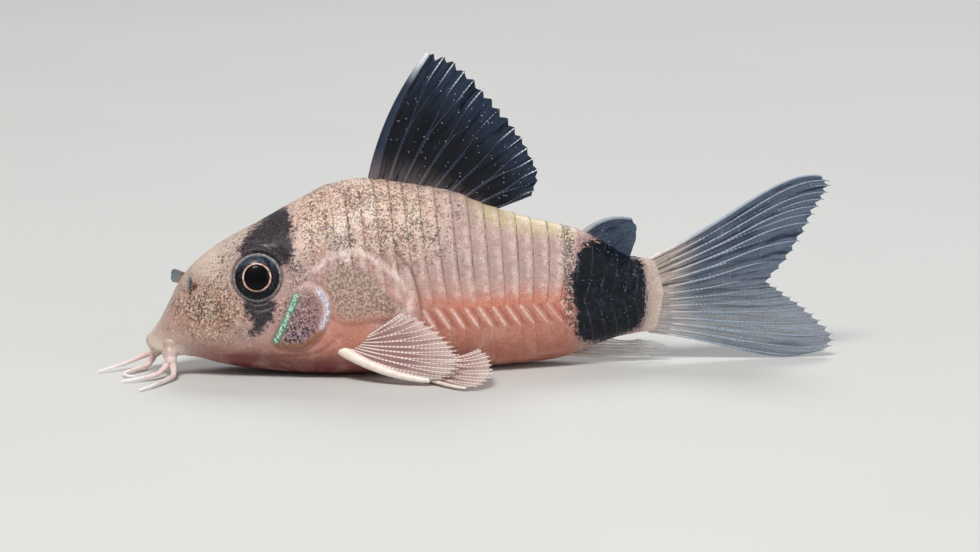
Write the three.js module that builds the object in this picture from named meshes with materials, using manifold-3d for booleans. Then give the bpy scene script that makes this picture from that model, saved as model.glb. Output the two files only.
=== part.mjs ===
// A life-size panda corydoras, a small armoured catfish, resting on its belly, chin whiskers and paired fins.
// Millimetres, +Z up. The head points along -X, the left side faces -Y, and the resting level is z = 0.
// Modelled first with x = 0 at the front of the upper lip, then moved so that the middle of its box is the origin.
import * as THREE from "three";
import { mergeVertices } from "three/addons/utils/BufferGeometryUtils.js";
import Module from "manifold-3d";

const wasm = await Module();
wasm.setup();

// Driving dimensions
const HEAD_END = 13.6; // where the skull gives way to the trunk, on the side line
const TRUNK_END = 32.4; // in front of the tail stalk, on the side line
const STALK_END = 38.8; // where the tail fin grows, on the side line
const GAP = 0.3; // between neighbouring pieces
const PLATE_STEP = 0.17; // how far each armour plate stands over the next
const PLATES = 24; // armour plates in each row, from the nape to the tail fin
const FIRST_PLATE = 14.6; // rear edge of the first plate, on the side line
const FIRST_PITCH = 1.13;
const LAST_PITCH = 0.96;
const MEMBRANE_HALF = 0.25; // half the thickness of the skin between fin rays
const RAY_HALF = 0.37; // half the thickness over a fin ray
const EYE_RADIUS = 1.9;
const EYE_DEPTH = 1.1;
const SECTION_SIDES = 32; // corners round each cross-section

const COLOURS = {
  skin: [0.83, 0.6, 0.5],
  belly: [0.8, 0.47, 0.38],
  black: [0.06, 0.07, 0.09],
  gill: [0.42, 0.45, 0.42],
  clear: [0.62, 0.66, 0.68],
  eye: [0.03, 0.03, 0.04],
  barbel: [0.88, 0.74, 0.7],
};

// A smooth curve through [place, value] stations that never overshoots them.
function throughStations(stations) {
  const xs = stations.map((s) => s[0]);
  const ys = stations.map((s) => s[1]);
  const slopes = xs.slice(1).map((x, i) => (ys[i + 1] - ys[i]) / (x - xs[i]));
  const tangents = xs.map((x, i) => {
    const before = slopes[Math.max(i - 1, 0)];
    const after = slopes[Math.min(i, slopes.length - 1)];
    return before * after <= 0 ? 0 : (2 * before * after) / (before + after);
  });
  return (x) => {
    let i = 0;
    while (i < xs.length - 2 && x > xs[i + 1]) i++;
    const span = xs[i + 1] - xs[i];
    const t = Math.min(1, Math.max(0, (x - xs[i]) / span));
    const t2 = t * t;
    const t3 = t2 * t;
    return (
      ys[i] * (2 * t3 - 3 * t2 + 1) +
      ys[i + 1] * (3 * t2 - 2 * t3) +
      span * (tangents[i] * (t3 - 2 * t2 + t) + tangents[i + 1] * (t3 - t2))
    );
  };
}

const smooth = (low, high, x) => THREE.MathUtils.smoothstep(x, low, high);
const point = (x, y, z) => new THREE.Vector3(x, y, z);
const curveOf = (...corners) => new THREE.CatmullRomCurve3(corners.map((c) => point(...c)), false, "catmullrom", 0.5);

// The body's outline in side view, its half width, and the height where it is widest.
const backLine = throughStations([
  [0.2, 2.95], [0.94, 4.0], [1.71, 5.5], [2.48, 7.0], [3.77, 8.5], [5.66, 9.9], [8.4, 11.35],
  [11.5, 13.05], [13.8, 14.12], [16.4, 14.52], [19.1, 14.12], [22.9, 13.42], [25.2, 12.45],
  [28.2, 11.45], [32.5, 10.32], [34.4, 9.4], [36.6, 8.15], [38.1, 7.95], [40, 8.0],
]);
const bellyLine = throughStations([
  [0.2, 2.0], [0.9, 1.65], [2.3, 1.42], [3.8, 1.2], [5.25, 0.78], [6.7, 0.5], [8.2, 0.3], [9.7, 0.12],
  [11.5, -0.04], [14, -0.12], [22, -0.12], [25, 0.05], [29.5, 0.3], [31.2, 0.5], [32.8, 1.05], [34.3, 1.55],
  [36, 2.05], [38, 2.3], [40, 2.25],
]);
const halfWidth = throughStations([
  [0.2, 0.95], [0.9, 1.55], [2, 2.1], [4, 2.95], [6, 3.6], [8, 4.08], [10, 4.55], [12, 5],
  [14.5, 5.3], [17, 5.25], [20, 4.95], [24, 4.25], [28, 3.45], [32, 2.65], [35, 2.1], [37.5, 1.65], [40, 1.15],
]);
const widestHeight = throughStations([
  [0.2, 2.45], [2, 3.1], [5, 4.0], [8, 4.6], [14, 5.2], [28, 5.1], [34, 5.3], [40, 5.3],
]);
const backRoundness = throughStations([[0, 2.2], [5, 2.1], [10, 1.95], [16, 1.8], [30, 1.85], [40, 2]]);
const bellyRoundness = throughStations([[0, 2.1], [5, 2.3], [10, 2.7], [15, 2.95], [24, 2.8], [33, 2.2], [40, 2]]);

// How far the plate edges lean back from the side line: at the back's ridge, and at the belly.
const ridgeLean = throughStations([[7, 0], [13.6, -0.9], [20, -1], [27, -0.1], [33, 0.8], [36, 0.6], [38.8, -0.4], [40, -0.4]]);
const bellyLean = throughStations([[7, 0], [13.6, -0.4], [20, 0.1], [27, 0.4], [33, 0.8], [36, 0.6], [38.8, -0.3], [40, -0.3]]);
function lean(side, turn) {
  const height = Math.cos(turn);
  return height >= 0
    ? ridgeLean(side) * (1 - (1 - height) ** 2)
    : bellyLean(side) * (1 - (1 + height) ** 2);
}

// A point of the skin. turn is 0 on the ridge of the back, PI / 2 on the left side line and PI under the belly.
function flatSkin(x, turn) {
  const s = Math.sin(turn);
  const c = Math.cos(turn);
  const roundness = c >= 0 ? backRoundness(x) : bellyRoundness(x);
  const middle = widestHeight(x);
  const reach = c >= 0 ? backLine(x) - middle : middle - bellyLine(x);
  const y = -halfWidth(x) * Math.sign(s) * Math.abs(s) ** (2 / roundness);
  const z = middle + reach * Math.sign(c) * Math.abs(c) ** (2 / roundness);
  return [y, z];
}
function skinPoint(side, turn, lift) {
  const x = side + lean(side, turn);
  const [y, z] = flatSkin(x, turn);
  const [y0, z0] = flatSkin(x, turn - 0.02);
  const [y1, z1] = flatSkin(x, turn + 0.02);
  const length = Math.hypot(y1 - y0, z1 - z0);
  return point(x, y + ((z1 - z0) / length) * lift, Math.max(0, z - ((y1 - y0) / length) * lift));
}

// The share of the full plate step at a place: none on the bare belly, little on the seam of the two rows.
function plateShare(side, turn) {
  const fromBack = Math.min(turn, 2 * Math.PI - turn) / Math.PI;
  const bareBelly = 1 - smooth(0.76, 0.86, fromBack);
  const seam = 1 - 0.75 * Math.exp(-(((fromBack - 0.5) / 0.03) ** 2));
  const onRidge = 0.12 + 0.38 * smooth(16.5, 20.5, side);
  const ridge = onRidge + (1 - onRidge) * smooth(0, 0.14, fromBack);
  const behindGirdle = fromBack > 0.42 ? smooth(18, 19.2, side) : 1;
  return bareBelly * seam * ridge * behindGirdle;
}

// The shoulder girdle's plate, a smooth swelling behind the gill cover.
function girdleLift(side, turn) {
  const [, z] = flatSkin(side, turn);
  const across = (side - 15.3) / 3;
  const up = (z - 5 + 0.35 * (side - 15.3)) / 3.4;
  return 0.22 * (1 - smooth(0.75, 1.1, Math.hypot(across, up)));
}

function ring(side, liftAt) {
  return Array.from({ length: SECTION_SIDES }, (_, k) => {
    const turn = (2 * Math.PI * k) / SECTION_SIDES;
    return skinPoint(side, turn, liftAt(side, turn));
  });
}

// A closed mesh from an array of corners and an array of triangles.
function meshFrom(corners, triangles) {
  const geometry = new THREE.BufferGeometry();
  geometry.setAttribute("position", new THREE.Float32BufferAttribute(corners.flatMap((p) => [p.x, p.y, p.z]), 3));
  geometry.setIndex(triangles);
  return geometry;
}

// Rings of corners joined one to the next, with both ends closed to their middles.
function loft(rings) {
  const sides = rings[0].length;
  const corners = rings.flat();
  const triangles = [];
  for (let i = 0; i < rings.length - 1; i++) {
    for (let k = 0; k < sides; k++) {
      const a = i * sides + k;
      const b = i * sides + ((k + 1) % sides);
      triangles.push(a, b, a + sides, b, b + sides, a + sides);
    }
  }
  const middleOf = (r) => r.reduce((sum, p) => sum.add(p), point(0, 0, 0)).divideScalar(sides);
  const front = corners.push(middleOf(rings[0])) - 1;
  const back = corners.push(middleOf(rings.at(-1))) - 1;
  const last = (rings.length - 1) * sides;
  for (let k = 0; k < sides; k++) {
    const next = (k + 1) % sides;
    triangles.push(front, next, k, back, last + k, last + next);
  }
  return meshFrom(corners, triangles);
}

// Solids for joining and cutting, made with the faces pointing out.
function solidOf(geometry) {
  const bare = geometry.index ? geometry.clone() : geometry;
  for (const name of Object.keys(bare.attributes)) if (name !== "position") bare.deleteAttribute(name);
  const merged = mergeVertices(bare, 1e-4);
  const triVerts = new Uint32Array(merged.index.array);
  const build = () =>
    new wasm.Manifold(new wasm.Mesh({ numProp: 3, vertProperties: merged.attributes.position.array, triVerts }));
  const made = build();
  if (made.volume() > 0) return made;
  for (let i = 0; i < triVerts.length; i += 3) [triVerts[i + 1], triVerts[i + 2]] = [triVerts[i + 2], triVerts[i + 1]];
  return build();
}
function geometryOf(solid) {
  const mesh = solid.getMesh();
  const geometry = new THREE.BufferGeometry();
  geometry.setAttribute("position", new THREE.BufferAttribute(new Float32Array(mesh.vertProperties), 3));
  geometry.setIndex(new THREE.BufferAttribute(new Uint32Array(mesh.triVerts), 1));
  return geometry;
}
const largest = (solid) => solid.decompose().reduce((a, b) => (b.volume() > a.volume() ? b : a));
const mirrored = (geometry) => geometry.clone().scale(1, -1, 1);

// The whole body, plain, with its skin moved out by lift: for cutting fins and whiskers clear of it.
function plainBody(lift, from, to, spacing) {
  const steps = Math.ceil((to - from) / spacing);
  const places = Array.from({ length: steps + 1 }, (_, i) => THREE.MathUtils.lerp(from, to, i / steps));
  return solidOf(loft(places.map((x) => ring(x, () => lift))));
}

// A round tube along a curve, radiusAt thick at each share of its length, kept above the resting level.
function roundTube(path, radiusAt, steps, sides = 8) {
  const frames = path.computeFrenetFrames(steps, false);
  const rings = [];
  for (let i = 0; i <= steps; i++) {
    const centre = path.getPointAt(i / steps);
    const radius = radiusAt(i / steps);
    rings.push(
      Array.from({ length: sides }, (_, k) => {
        const angle = (2 * Math.PI * k) / sides;
        const p = centre
          .clone()
          .addScaledVector(frames.normals[i], radius * Math.cos(angle))
          .addScaledVector(frames.binormals[i], radius * Math.sin(angle));
        return p.setZ(Math.max(0, p.z));
      }),
    );
  }
  return loft(rings);
}

// A fin: a fan of rays from its root line to its tip line, each ray a ridge on both faces that forks on the way out.
// bow is how far the middle of the fin is pushed out at a ray, and bowAt how that builds up along the ray.
// Both faces are split into triangles alike, and the corners between rays are drawn in from the ray tips.
function rayFin({ root, tip, rays, bow, bowAt = (r) => 4 * r * (1 - r), forkAt = 0.45, notch = 0.05, rootHalf = 0.4, spineHalf = 0.45, rows }) {
  const sector = 1 / (rays - 1);
  const columns = [];
  for (let i = 0; i < rays; i++) {
    const kinds = [["flank", -1], ["ray", 0], ["flank", 1], ["valley", 2]];
    for (const [kind, place] of kinds) {
      if ((i === 0 && place < 0) || (i === rays - 1 && place > 0)) continue;
      columns.push({ kind, place, ray: i, outer: i === 0 || i === rays - 1 });
    }
  }
  const along = (column, r) => {
    const spread = column.kind === "valley" ? 0.5 : Math.abs(column.place) * (0.14 + 0.12 * r);
    return THREE.MathUtils.clamp((column.ray + Math.sign(column.place) * spread) * sector, 0, 1);
  };
  const middle = (s, r) => {
    const from = root.getPoint(s);
    const to = tip.getPoint(s);
    return from.clone().lerp(to, r).addScaledVector(bow(s), bowAt(r));
  };
  const faceNormal = (s, r) => {
    const s0 = Math.max(0, s - 0.02);
    const s1 = Math.min(1, s + 0.02);
    const across = middle(s1, r).sub(middle(s0, r));
    const out = middle(s, Math.min(1, r + 0.02)).sub(middle(s, Math.max(0, r - 0.02)));
    return across.cross(out).normalize();
  };
  const halfThickness = (column, r) => {
    const forked = smooth(forkAt - 0.08, forkAt + 0.08, r);
    const crest = column.ray === 0 ? THREE.MathUtils.lerp(spineHalf, RAY_HALF, r) : RAY_HALF;
    const heights = {
      ray: column.outer ? crest : THREE.MathUtils.lerp(crest, MEMBRANE_HALF, forked),
      flank: column.outer ? MEMBRANE_HALF : THREE.MathUtils.lerp(MEMBRANE_HALF + 0.03, crest, forked),
      valley: MEMBRANE_HALF,
    };
    const fleshy = (rootHalf - MEMBRANE_HALF) * Math.max(0, 1 - r / 0.22) ** 2;
    return (heights[column.kind] + fleshy) * (1 - 0.5 * smooth(0.86, 1, r));
  };
  const reach = { ray: 1 - 0.5 * notch, flank: 1, valley: 1 - notch };
  const faces = [1, -1].map((sign) =>
    columns.map((column) =>
      rows.map((row) => {
        const end = column.outer && column.kind === "ray" ? 1 : reach[column.kind];
        const r = row * end;
        const s = along(column, r);
        const p = middle(s, r).addScaledVector(faceNormal(s, r), sign * halfThickness(column, row));
        return p.setZ(Math.max(0, p.z));
      }),
    ),
  );
  const corners = faces.flat(2);
  const wide = columns.length;
  const tall = rows.length;
  const at = (face, column, row) => (face * wide + column) * tall + row;
  const triangles = [];
  for (let c = 0; c < wide - 1; c++) {
    for (let r = 0; r < tall - 1; r++) {
      const [a, b, d, e] = [at(0, c, r), at(0, c + 1, r), at(0, c + 1, r + 1), at(0, c, r + 1)];
      const back = wide * tall;
      triangles.push(a, b, d, a, d, e, a + back, d + back, b + back, a + back, e + back, d + back);
    }
  }
  const wall = (a, b) => triangles.push(a, a + wide * tall, b, b, a + wide * tall, b + wide * tall);
  for (let c = 0; c < wide - 1; c++) {
    wall(at(0, c, 0), at(0, c + 1, 0));
    wall(at(0, c + 1, tall - 1), at(0, c, tall - 1));
  }
  for (let r = 0; r < tall - 1; r++) {
    wall(at(0, 0, r + 1), at(0, 0, r));
    wall(at(0, wide - 1, r), at(0, wide - 1, r + 1));
  }
  return solidOf(meshFrom(corners, triangles));
}

// Places of the plates' rear edges along the side line.
const plateEdges = [];
for (let k = 0, x = FIRST_PLATE; k < PLATES; k++) {
  plateEdges.push(x);
  x += THREE.MathUtils.lerp(FIRST_PITCH, LAST_PITCH, k / (PLATES - 1));
}

// Trunk and tail stalk: each plate slopes up to its rear edge and steps down behind it.
function armouredLength(from, to) {
  const raised = (side, turn) => PLATE_STEP * plateShare(side, turn) + girdleLift(side, turn);
  const sunk = (side, turn) => girdleLift(side, turn);
  const rings = [ring(from, sunk)];
  for (const edge of plateEdges) {
    if (edge <= from + 0.2 || edge >= to - 0.25) continue;
    rings.push(ring(edge, raised), ring(edge + 0.14, sunk));
  }
  rings.push(ring(to, raised));
  return solidOf(loft(rings));
}

// Eyes
const eyePlace = point(8.1, -3.0, 7.6);
const eyeFacing = point(-0.12, -1, 0.22).normalize();
function eyeball(extra) {
  const ball = new THREE.SphereGeometry(1, 22, 12).scale(EYE_RADIUS + extra, EYE_DEPTH + extra, EYE_RADIUS + extra);
  const turn = new THREE.Quaternion().setFromUnitVectors(point(0, -1, 0), eyeFacing);
  return ball.applyQuaternion(turn).translate(eyePlace.x, eyePlace.y, eyePlace.z);
}
function eyeRim() {
  const rim = new THREE.TorusGeometry(EYE_RADIUS + 0.3, 0.26, 6, 22).rotateX(Math.PI / 2).scale(1, 0.9, 1);
  const turn = new THREE.Quaternion().setFromUnitVectors(point(0, -1, 0), eyeFacing);
  const out = eyePlace.clone().addScaledVector(eyeFacing, 0.42);
  return rim.applyQuaternion(turn).translate(out.x, out.y, out.z);
}

// Gill cover: an oval plate that lies in its own recess, its rear edge free over the shoulder.
const gillCentre = [11.3, 4.75];
const gillRadii = [2.0, 2.65];
const gillTilt = -0.28;
function gillPrism(extra) {
  const outline = new THREE.Shape();
  outline.absellipse(...gillCentre, gillRadii[0] + extra, gillRadii[1] + extra, 0, 2 * Math.PI, false, gillTilt);
  const prism = new THREE.ExtrudeGeometry(outline, { depth: 6, bevelEnabled: false, curveSegments: 20 });
  return solidOf(prism.rotateX(Math.PI / 2).translate(0, -2, 0));
}

// Lips, from one corner of the mouth round the front to the other
const upperLipPath = curveOf(
  [2.3, -1.75, 1.75], [1.3, -1.6, 2.0], [0.62, -0.95, 2.3], [0.4, 0, 2.45], [0.62, 0.95, 2.3], [1.3, 1.6, 2.0], [2.3, 1.75, 1.75],
);
const lowerLipPath = curveOf([2.4, -1.45, 1.2], [1.6, -1.05, 1.1], [1.25, 0, 1.08], [1.6, 1.05, 1.1], [2.4, 1.45, 1.2]);

// Fleshy lobes at the corners of the mouth, each the root of two whiskers
const lobePaths = [
  curveOf([1.7, -1.3, 2.6], [1.6, -1.75, 1.7], [1.65, -2.1, 0.95]),
  curveOf([1.4, 1.25, 2.6], [0.85, 1.6, 1.75], [0.6, 1.85, 1.05]),
];
const lobeRadius = (share) => THREE.MathUtils.lerp(0.72, 0.36, share ** 1.3);
const mouthParts = (extra) => [
  solidOf(roundTube(upperLipPath, () => 0.46 + extra, 16)),
  solidOf(roundTube(lowerLipPath, () => 0.36 + extra, 12)),
  ...lobePaths.map((path) => solidOf(roundTube(path, (share) => lobeRadius(share) + extra, 6, 10))),
];

// The nostrils: a cup on each side, and a leaf of skin that stands up in front of it
const nostrilCup = point(3.45, -2.1, 6.75);
const nostrilLeaves = [
  { root: point(3.05, -1.75, 6.95), facing: point(-0.25, -0.85, 0.45) },
  { root: point(2.75, 1.75, 6.95), facing: point(-0.7, 0.68, 0.12) },
];
function nostrilLeaf({ root, facing }) {
  const along = facing.clone().normalize();
  const across = new THREE.Vector3().crossVectors(point(0, 0, 1), along).normalize();
  const up = new THREE.Vector3().crossVectors(along, across);
  const leaf = new THREE.SphereGeometry(1, 12, 8).scale(0.95, 0.25, 0.58);
  const middle = root.clone().addScaledVector(along, 0.15);
  return solidOf(leaf.applyMatrix4(new THREE.Matrix4().makeBasis(along, across, up)).translate(middle.x, middle.y, middle.z));
}

function headSolids() {
  const rings = [0.2, 0.5, 0.95, 1.5, 2.1, 2.9];
  for (let x = 3.8; x < HEAD_END - 0.4; x += 0.85) rings.push(x);
  rings.push(HEAD_END);
  let head = solidOf(loft(rings.map((x) => ring(x, () => 0))));
  const cup = solidOf(new THREE.SphereGeometry(0.42, 12, 8).translate(nostrilCup.x, nostrilCup.y, nostrilCup.z));
  const sides = [(s) => s, (s) => s.mirror([0, 1, 0])];
  const mouth = new THREE.SphereGeometry(1, 20, 12).scale(1.25, 1.45, 0.2).translate(1.15, 0, 1.62);
  const [upperLip, lowerLip, ...lobes] = mouthParts(0);
  head = head.add(upperLip).add(lowerLip).subtract(solidOf(mouth));
  for (const extra of [...lobes, ...nostrilLeaves.map(nostrilLeaf)]) head = head.add(extra);
  const recess = gillPrism(GAP).subtract(plainBody(-1.05, 6, 15, 1.5));
  const cover = gillPrism(0).intersect(plainBody(0.16, 6, 15, 1.0)).subtract(plainBody(-0.7, 6, 15, 1.5));
  for (const onSide of sides) {
    head = head.add(onSide(solidOf(eyeRim()))).subtract(onSide(solidOf(eyeball(GAP))));
    head = head.subtract(onSide(cup)).subtract(onSide(recess));
  }
  return { head: largest(head), covers: sides.map((onSide) => largest(onSide(cover))) };
}

// Whiskers, two from each lobe, lying on the floor: the left pair straight, a right one hooked at its tip
const whiskers = {
  barbel_left_front: curveOf([1.15, -2.2, 0.85], [0.7, -2.6, 0.5], [-0.1, -3.1, 0.33], [-1.2, -3.6, 0.25], [-2.2, -3.9, 0.17]),
  barbel_left_rear: curveOf([1.95, -2.45, 0.7], [1.75, -3.1, 0.42], [1.2, -4.2, 0.3], [0.45, -5.4, 0.26], [-0.35, -6.5, 0.2], [-0.95, -7.2, 0.16]),
  barbel_right_front: curveOf([0.0, 1.95, 1.15], [-0.6, 1.85, 0.85], [-1.5, 1.4, 0.55], [-2.7, 0.7, 0.33], [-3.85, 0.0, 0.18]),
  barbel_right_rear: curveOf([0.45, 1.6, 0.5], [-0.05, 1.0, 0.34], [-0.75, 0.2, 0.28], [-1.5, -0.65, 0.25], [-1.85, -1.35, 0.22], [-1.6, -1.85, 0.18], [-1.05, -2.0, 0.16]),
};
const whiskerRadius = (share) => 0.14 + 0.09 * (1 - share) + 0.1 * (1 - smooth(0, 0.3, share));

const finSpecs = {
  dorsal_fin: {
    root: curveOf([16.9, 0, 13.1], [19.6, 0, 12.9], [22.3, 0, 12.4], [25.1, 0, 11.6]),
    tip: curveOf([21.25, 0, 23.9], [22.9, 0, 23.5], [24.4, 0, 22.2], [25.7, 0, 20.75], [26.95, 0, 19.25], [28.1, 0, 17.8], [29, 0, 16.2], [29.6, 0, 14.5], [29.05, 0, 12.95]),
    rays: 9,
    bow: (s) => point(-0.75 * (1 - s) ** 2, 0, 0.2 * (1 - s)),
    notch: 0.055,
    rootHalf: 0.75,
    spineHalf: 0.5,
    rows: [0, 0.12, 0.3, 0.55, 0.8, 1],
  },
  adipose_fin: {
    root: curveOf([32.6, 0, 9.6], [34.6, 0, 8.5], [36.6, 0, 7.5]),
    tip: curveOf([36.75, 0, 11.0], [37.12, 0, 10.4], [37.05, 0, 9.4], [36.7, 0, 8.4]),
    rays: 4,
    bow: (s) => point(-0.1, 0, 0.62 * (1 - s) ** 2),
    forkAt: 2,
    notch: 0.02,
    rootHalf: 0.5,
    spineHalf: 0.42,
    rows: [0, 0.3, 0.65, 1],
  },
  caudal_fin: {
    root: curveOf([38.0, 0, 7.85], [38.45, 0, 6.6], [38.6, 0, 5.1], [38.45, 0, 3.6], [38.1, 0, 2.3]),
    tip: curveOf(
      [51.3, 0, 14.02], [51.95, 0, 13.5], [51.6, 0, 12.5], [50.9, 0, 11.4], [50.2, 0, 10.1], [49.4, 0, 8.7], [48.4, 0, 7.3],
      [47.35, 0, 6.0], [48.2, 0, 5.3], [49.3, 0, 4.5], [50.5, 0, 3.6], [51.6, 0, 2.6], [52.4, 0, 1.55], [52.0, 0, 0.65], [50.4, 0, 0.3],
    ),
    rays: 15,
    bow: (s) => point(0, 0, s < 0.5 ? 0.9 * (1 - 2 * s) : -0.55 * (2 * s - 1)),
    bowAt: (r) => 9.5 * r ** 3 * (1 - r),
    notch: 0.025,
    rootHalf: 1.05,
    spineHalf: 0.4,
    rows: [0, 0.09, 0.22, 0.45, 0.72, 1],
  },
  anal_fin: {
    root: curveOf([31.7, 0, 0.7], [33.1, 0, 1.2], [34.7, 0, 1.95]),
    tip: curveOf([38.3, 0, 0.35], [39.5, 0, 0.62], [39.8, 0, 1.0], [39.2, 0, 1.35], [38.3, 0, 1.6], [37.3, 0, 1.7]),
    rays: 7,
    bow: (s) => point(0, 0, -0.1 - 0.1 * s),
    notch: 0.04,
    rootHalf: 0.4,
    spineHalf: 0.38,
    rows: [0, 0.25, 0.5, 0.75, 1],
  },
  pectoral_fin_left: {
    root: curveOf([13.85, -4.4, 2.5], [14.8, -4.6, 2.75], [15.9, -4.8, 3.15]),
    tip: curveOf(
      [20.5, -7.6, 0.45], [21.5, -7.9, 0.62], [22.3, -8.0, 1.05], [22.75, -7.85, 1.6], [22.65, -7.5, 2.2], [22.4, -7.2, 2.7],
      [21.9, -6.85, 3.25], [21.25, -6.5, 3.9], [20.3, -6.15, 4.55], [19.4, -6.0, 5.1], [18.5, -5.9, 5.2],
    ),
    rays: 10,
    bow: (s) => point(0, -0.6, -0.4 + 0.5 * s),
    notch: 0.05,
    rootHalf: 0.55,
    spineHalf: 0.5,
    rows: [0, 0.18, 0.42, 0.72, 1],
  },
  pelvic_fin_left: {
    root: curveOf([18.9, -3.0, 0.6], [19.6, -3.1, 0.85], [20.5, -3.1, 1.15]),
    tip: curveOf([22.9, -10.0, 0.3], [23.9, -9.95, 0.45], [24.6, -9.4, 0.8], [25.0, -8.6, 1.2], [25.05, -7.5, 1.65], [24.95, -6.4, 2.05], [24.4, -5.3, 2.25]),
    rays: 7,
    bow: (s) => point(0, -0.9, -0.12),
    notch: 0.04,
    rootHalf: 0.42,
    spineHalf: 0.4,
    rows: [0, 0.25, 0.6, 1],
  },
};

const { head, covers } = headSolids();
const clearOfBody = plainBody(GAP + PLATE_STEP / 2, 1.2, STALK_END + GAP, 1.0);
const clearOfMouth = mouthParts(GAP - 0.02);

const nodes = [];
const node = (name, solid, colour) => nodes.push({ name, geometry: geometryOf(solid), colour });

node("head", head, COLOURS.skin);
node("gill_cover_left", covers[0], COLOURS.gill);
node("gill_cover_right", covers[1], COLOURS.gill);
node("eye_left", solidOf(eyeball(0)), COLOURS.eye);
node("eye_right", solidOf(mirrored(eyeball(0))), COLOURS.eye);
node("trunk", armouredLength(HEAD_END + GAP, TRUNK_END), COLOURS.belly);
node("tail_stalk", armouredLength(TRUNK_END + GAP, STALK_END), COLOURS.black);
for (const [name, path] of Object.entries(whiskers)) {
  let whisker = solidOf(roundTube(path, whiskerRadius, 18)).subtract(clearOfBody);
  for (const part of clearOfMouth) whisker = whisker.subtract(part);
  node(name, largest(whisker), COLOURS.barbel);
}
for (const [name, spec] of Object.entries(finSpecs)) {
  const fin = largest(rayFin(spec).subtract(clearOfBody));
  const dark = name === "dorsal_fin" || name === "adipose_fin";
  node(name, fin, dark ? COLOURS.black : COLOURS.clear);
  if (name.endsWith("_left")) node(name.replace("_left", "_right"), fin.mirror([0, 1, 0]), COLOURS.clear);
}

const fish = new THREE.Group();
for (const { name, geometry, colour } of nodes) {
  const material = new THREE.MeshStandardMaterial({ color: new THREE.Color(...colour), roughness: 0.45, metalness: 0 });
  const mesh = new THREE.Mesh(geometry, material);
  mesh.name = name;
  fish.add(mesh);
}

// The origin is the middle of the fish's box, at the resting level.
const extent = new THREE.Box3().setFromObject(fish);
fish.position.set(-(extent.min.x + extent.max.x) / 2, -(extent.min.y + extent.max.y) / 2, 0);

export default fish;
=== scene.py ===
"""A life-size panda corydoras at rest, with armoured skin, wet eyes, whiskers and fins of membrane on rays.

Lengths in the shape functions are millimetres, with x = 0 at the front of the upper lip, x growing towards
the tail, the left side at negative y, and z = 0 where the fish rests. to_frame() turns them into the frame.
"""

import math
from types import SimpleNamespace

import bpy
import numpy as np
from bpy.props import FloatProperty, FloatVectorProperty, IntProperty, PointerProperty
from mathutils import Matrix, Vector


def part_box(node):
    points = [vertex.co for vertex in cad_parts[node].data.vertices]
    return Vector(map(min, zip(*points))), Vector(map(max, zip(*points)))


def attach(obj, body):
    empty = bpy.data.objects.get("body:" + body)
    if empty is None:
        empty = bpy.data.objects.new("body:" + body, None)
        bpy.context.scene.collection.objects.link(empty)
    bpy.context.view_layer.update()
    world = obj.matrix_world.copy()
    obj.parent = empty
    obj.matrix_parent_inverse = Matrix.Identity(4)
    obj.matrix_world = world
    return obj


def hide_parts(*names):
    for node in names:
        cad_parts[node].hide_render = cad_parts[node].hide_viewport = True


bl_info = {
    "name": "Panda Corydoras",
    "version": (1, 0, 0),
    "blender": (4, 5, 0),
    "location": "View3D > Sidebar > Corydoras",
    "description": "Builds a still, life-size panda corydoras piece by piece",
    "category": "Add Mesh",
}

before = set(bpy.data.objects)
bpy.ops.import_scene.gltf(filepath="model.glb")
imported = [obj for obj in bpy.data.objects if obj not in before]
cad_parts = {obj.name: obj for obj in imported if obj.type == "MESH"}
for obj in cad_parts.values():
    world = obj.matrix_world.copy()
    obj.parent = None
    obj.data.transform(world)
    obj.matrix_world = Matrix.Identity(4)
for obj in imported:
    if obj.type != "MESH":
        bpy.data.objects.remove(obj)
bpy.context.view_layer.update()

# Where the fish lies in the frame: the left eye's middle is known in both.
MM = 0.001
EYE_PLACE = np.array([8.1, -3.0, 7.6])
EYE_FACING = np.array([-0.12, -1.0, 0.22]) / np.linalg.norm([-0.12, -1.0, 0.22])
EYE_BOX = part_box("eye_left")
LIP_FRONT = (EYE_BOX[0][0] + EYE_BOX[1][0]) / 2 - EYE_PLACE[0] * MM

# Driving sizes of the body
STALK_END = 39.3
NOSE_ROUNDING = 0.2
PLATES_START = 13.6
FIRST_PLATE = 14.6
PLATES = 24
FIRST_PITCH = 1.13
LAST_PITCH = 0.96
EYE_RADIUS = 1.9
EYE_DEPTH = 1.1
SKIN_ROUND_EYE = (3.5, 12.5)

# How finely the meshes are divided
HEAD_STEP = 0.065
EYE_RINGS, EYE_SIDES = 43, 72
ROD_RINGS, ROD_SIDES = 90, 16
RAY_RINGS, RAY_SIDES = 150, 8
MEMBRANE_ROWS, COLUMNS_PER_RAY = 56, 8
LEAF_ROWS, LEAF_COLUMNS = 22, 18


def to_frame(points):
    """Points of the fish, in millimetres, as places in the frame, in metres."""
    moved = np.asarray(points, dtype=float) * MM
    moved[..., 0] += LIP_FRONT
    return moved


# Curves and outlines


def hermite(t, start, end, leaving, arriving):
    """The curve between two values, with its slopes at both ends, at t from 0 to 1."""
    rise = start * (2 * t**3 - 3 * t**2 + 1) + end * (3 * t**2 - 2 * t**3)
    return rise + leaving * (t**3 - 2 * t**2 + t) + arriving * (t**3 - t**2)


def through_stations(stations):
    """A smooth curve through (place, value) stations that never overshoots them."""
    xs, ys = (np.array(values, dtype=float) for values in zip(*stations))
    spans = np.diff(xs)
    slopes = np.diff(ys) / spans
    before = np.append(slopes[:1], slopes)
    after = np.append(slopes, slopes[-1:])
    product = before * after
    total = np.where(np.abs(before + after) < 1e-12, 1, before + after)
    tangents = np.where(product <= 0, 0, 2 * product / total)

    def value(x):
        x = np.asarray(x, dtype=float)
        i = np.clip(np.searchsorted(xs, x, side="left") - 1, 0, len(spans) - 1)
        t = np.clip((x - xs[i]) / spans[i], 0, 1)
        return hermite(t, ys[i], ys[i + 1], spans[i] * tangents[i], spans[i] * tangents[i + 1])

    return value


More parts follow.
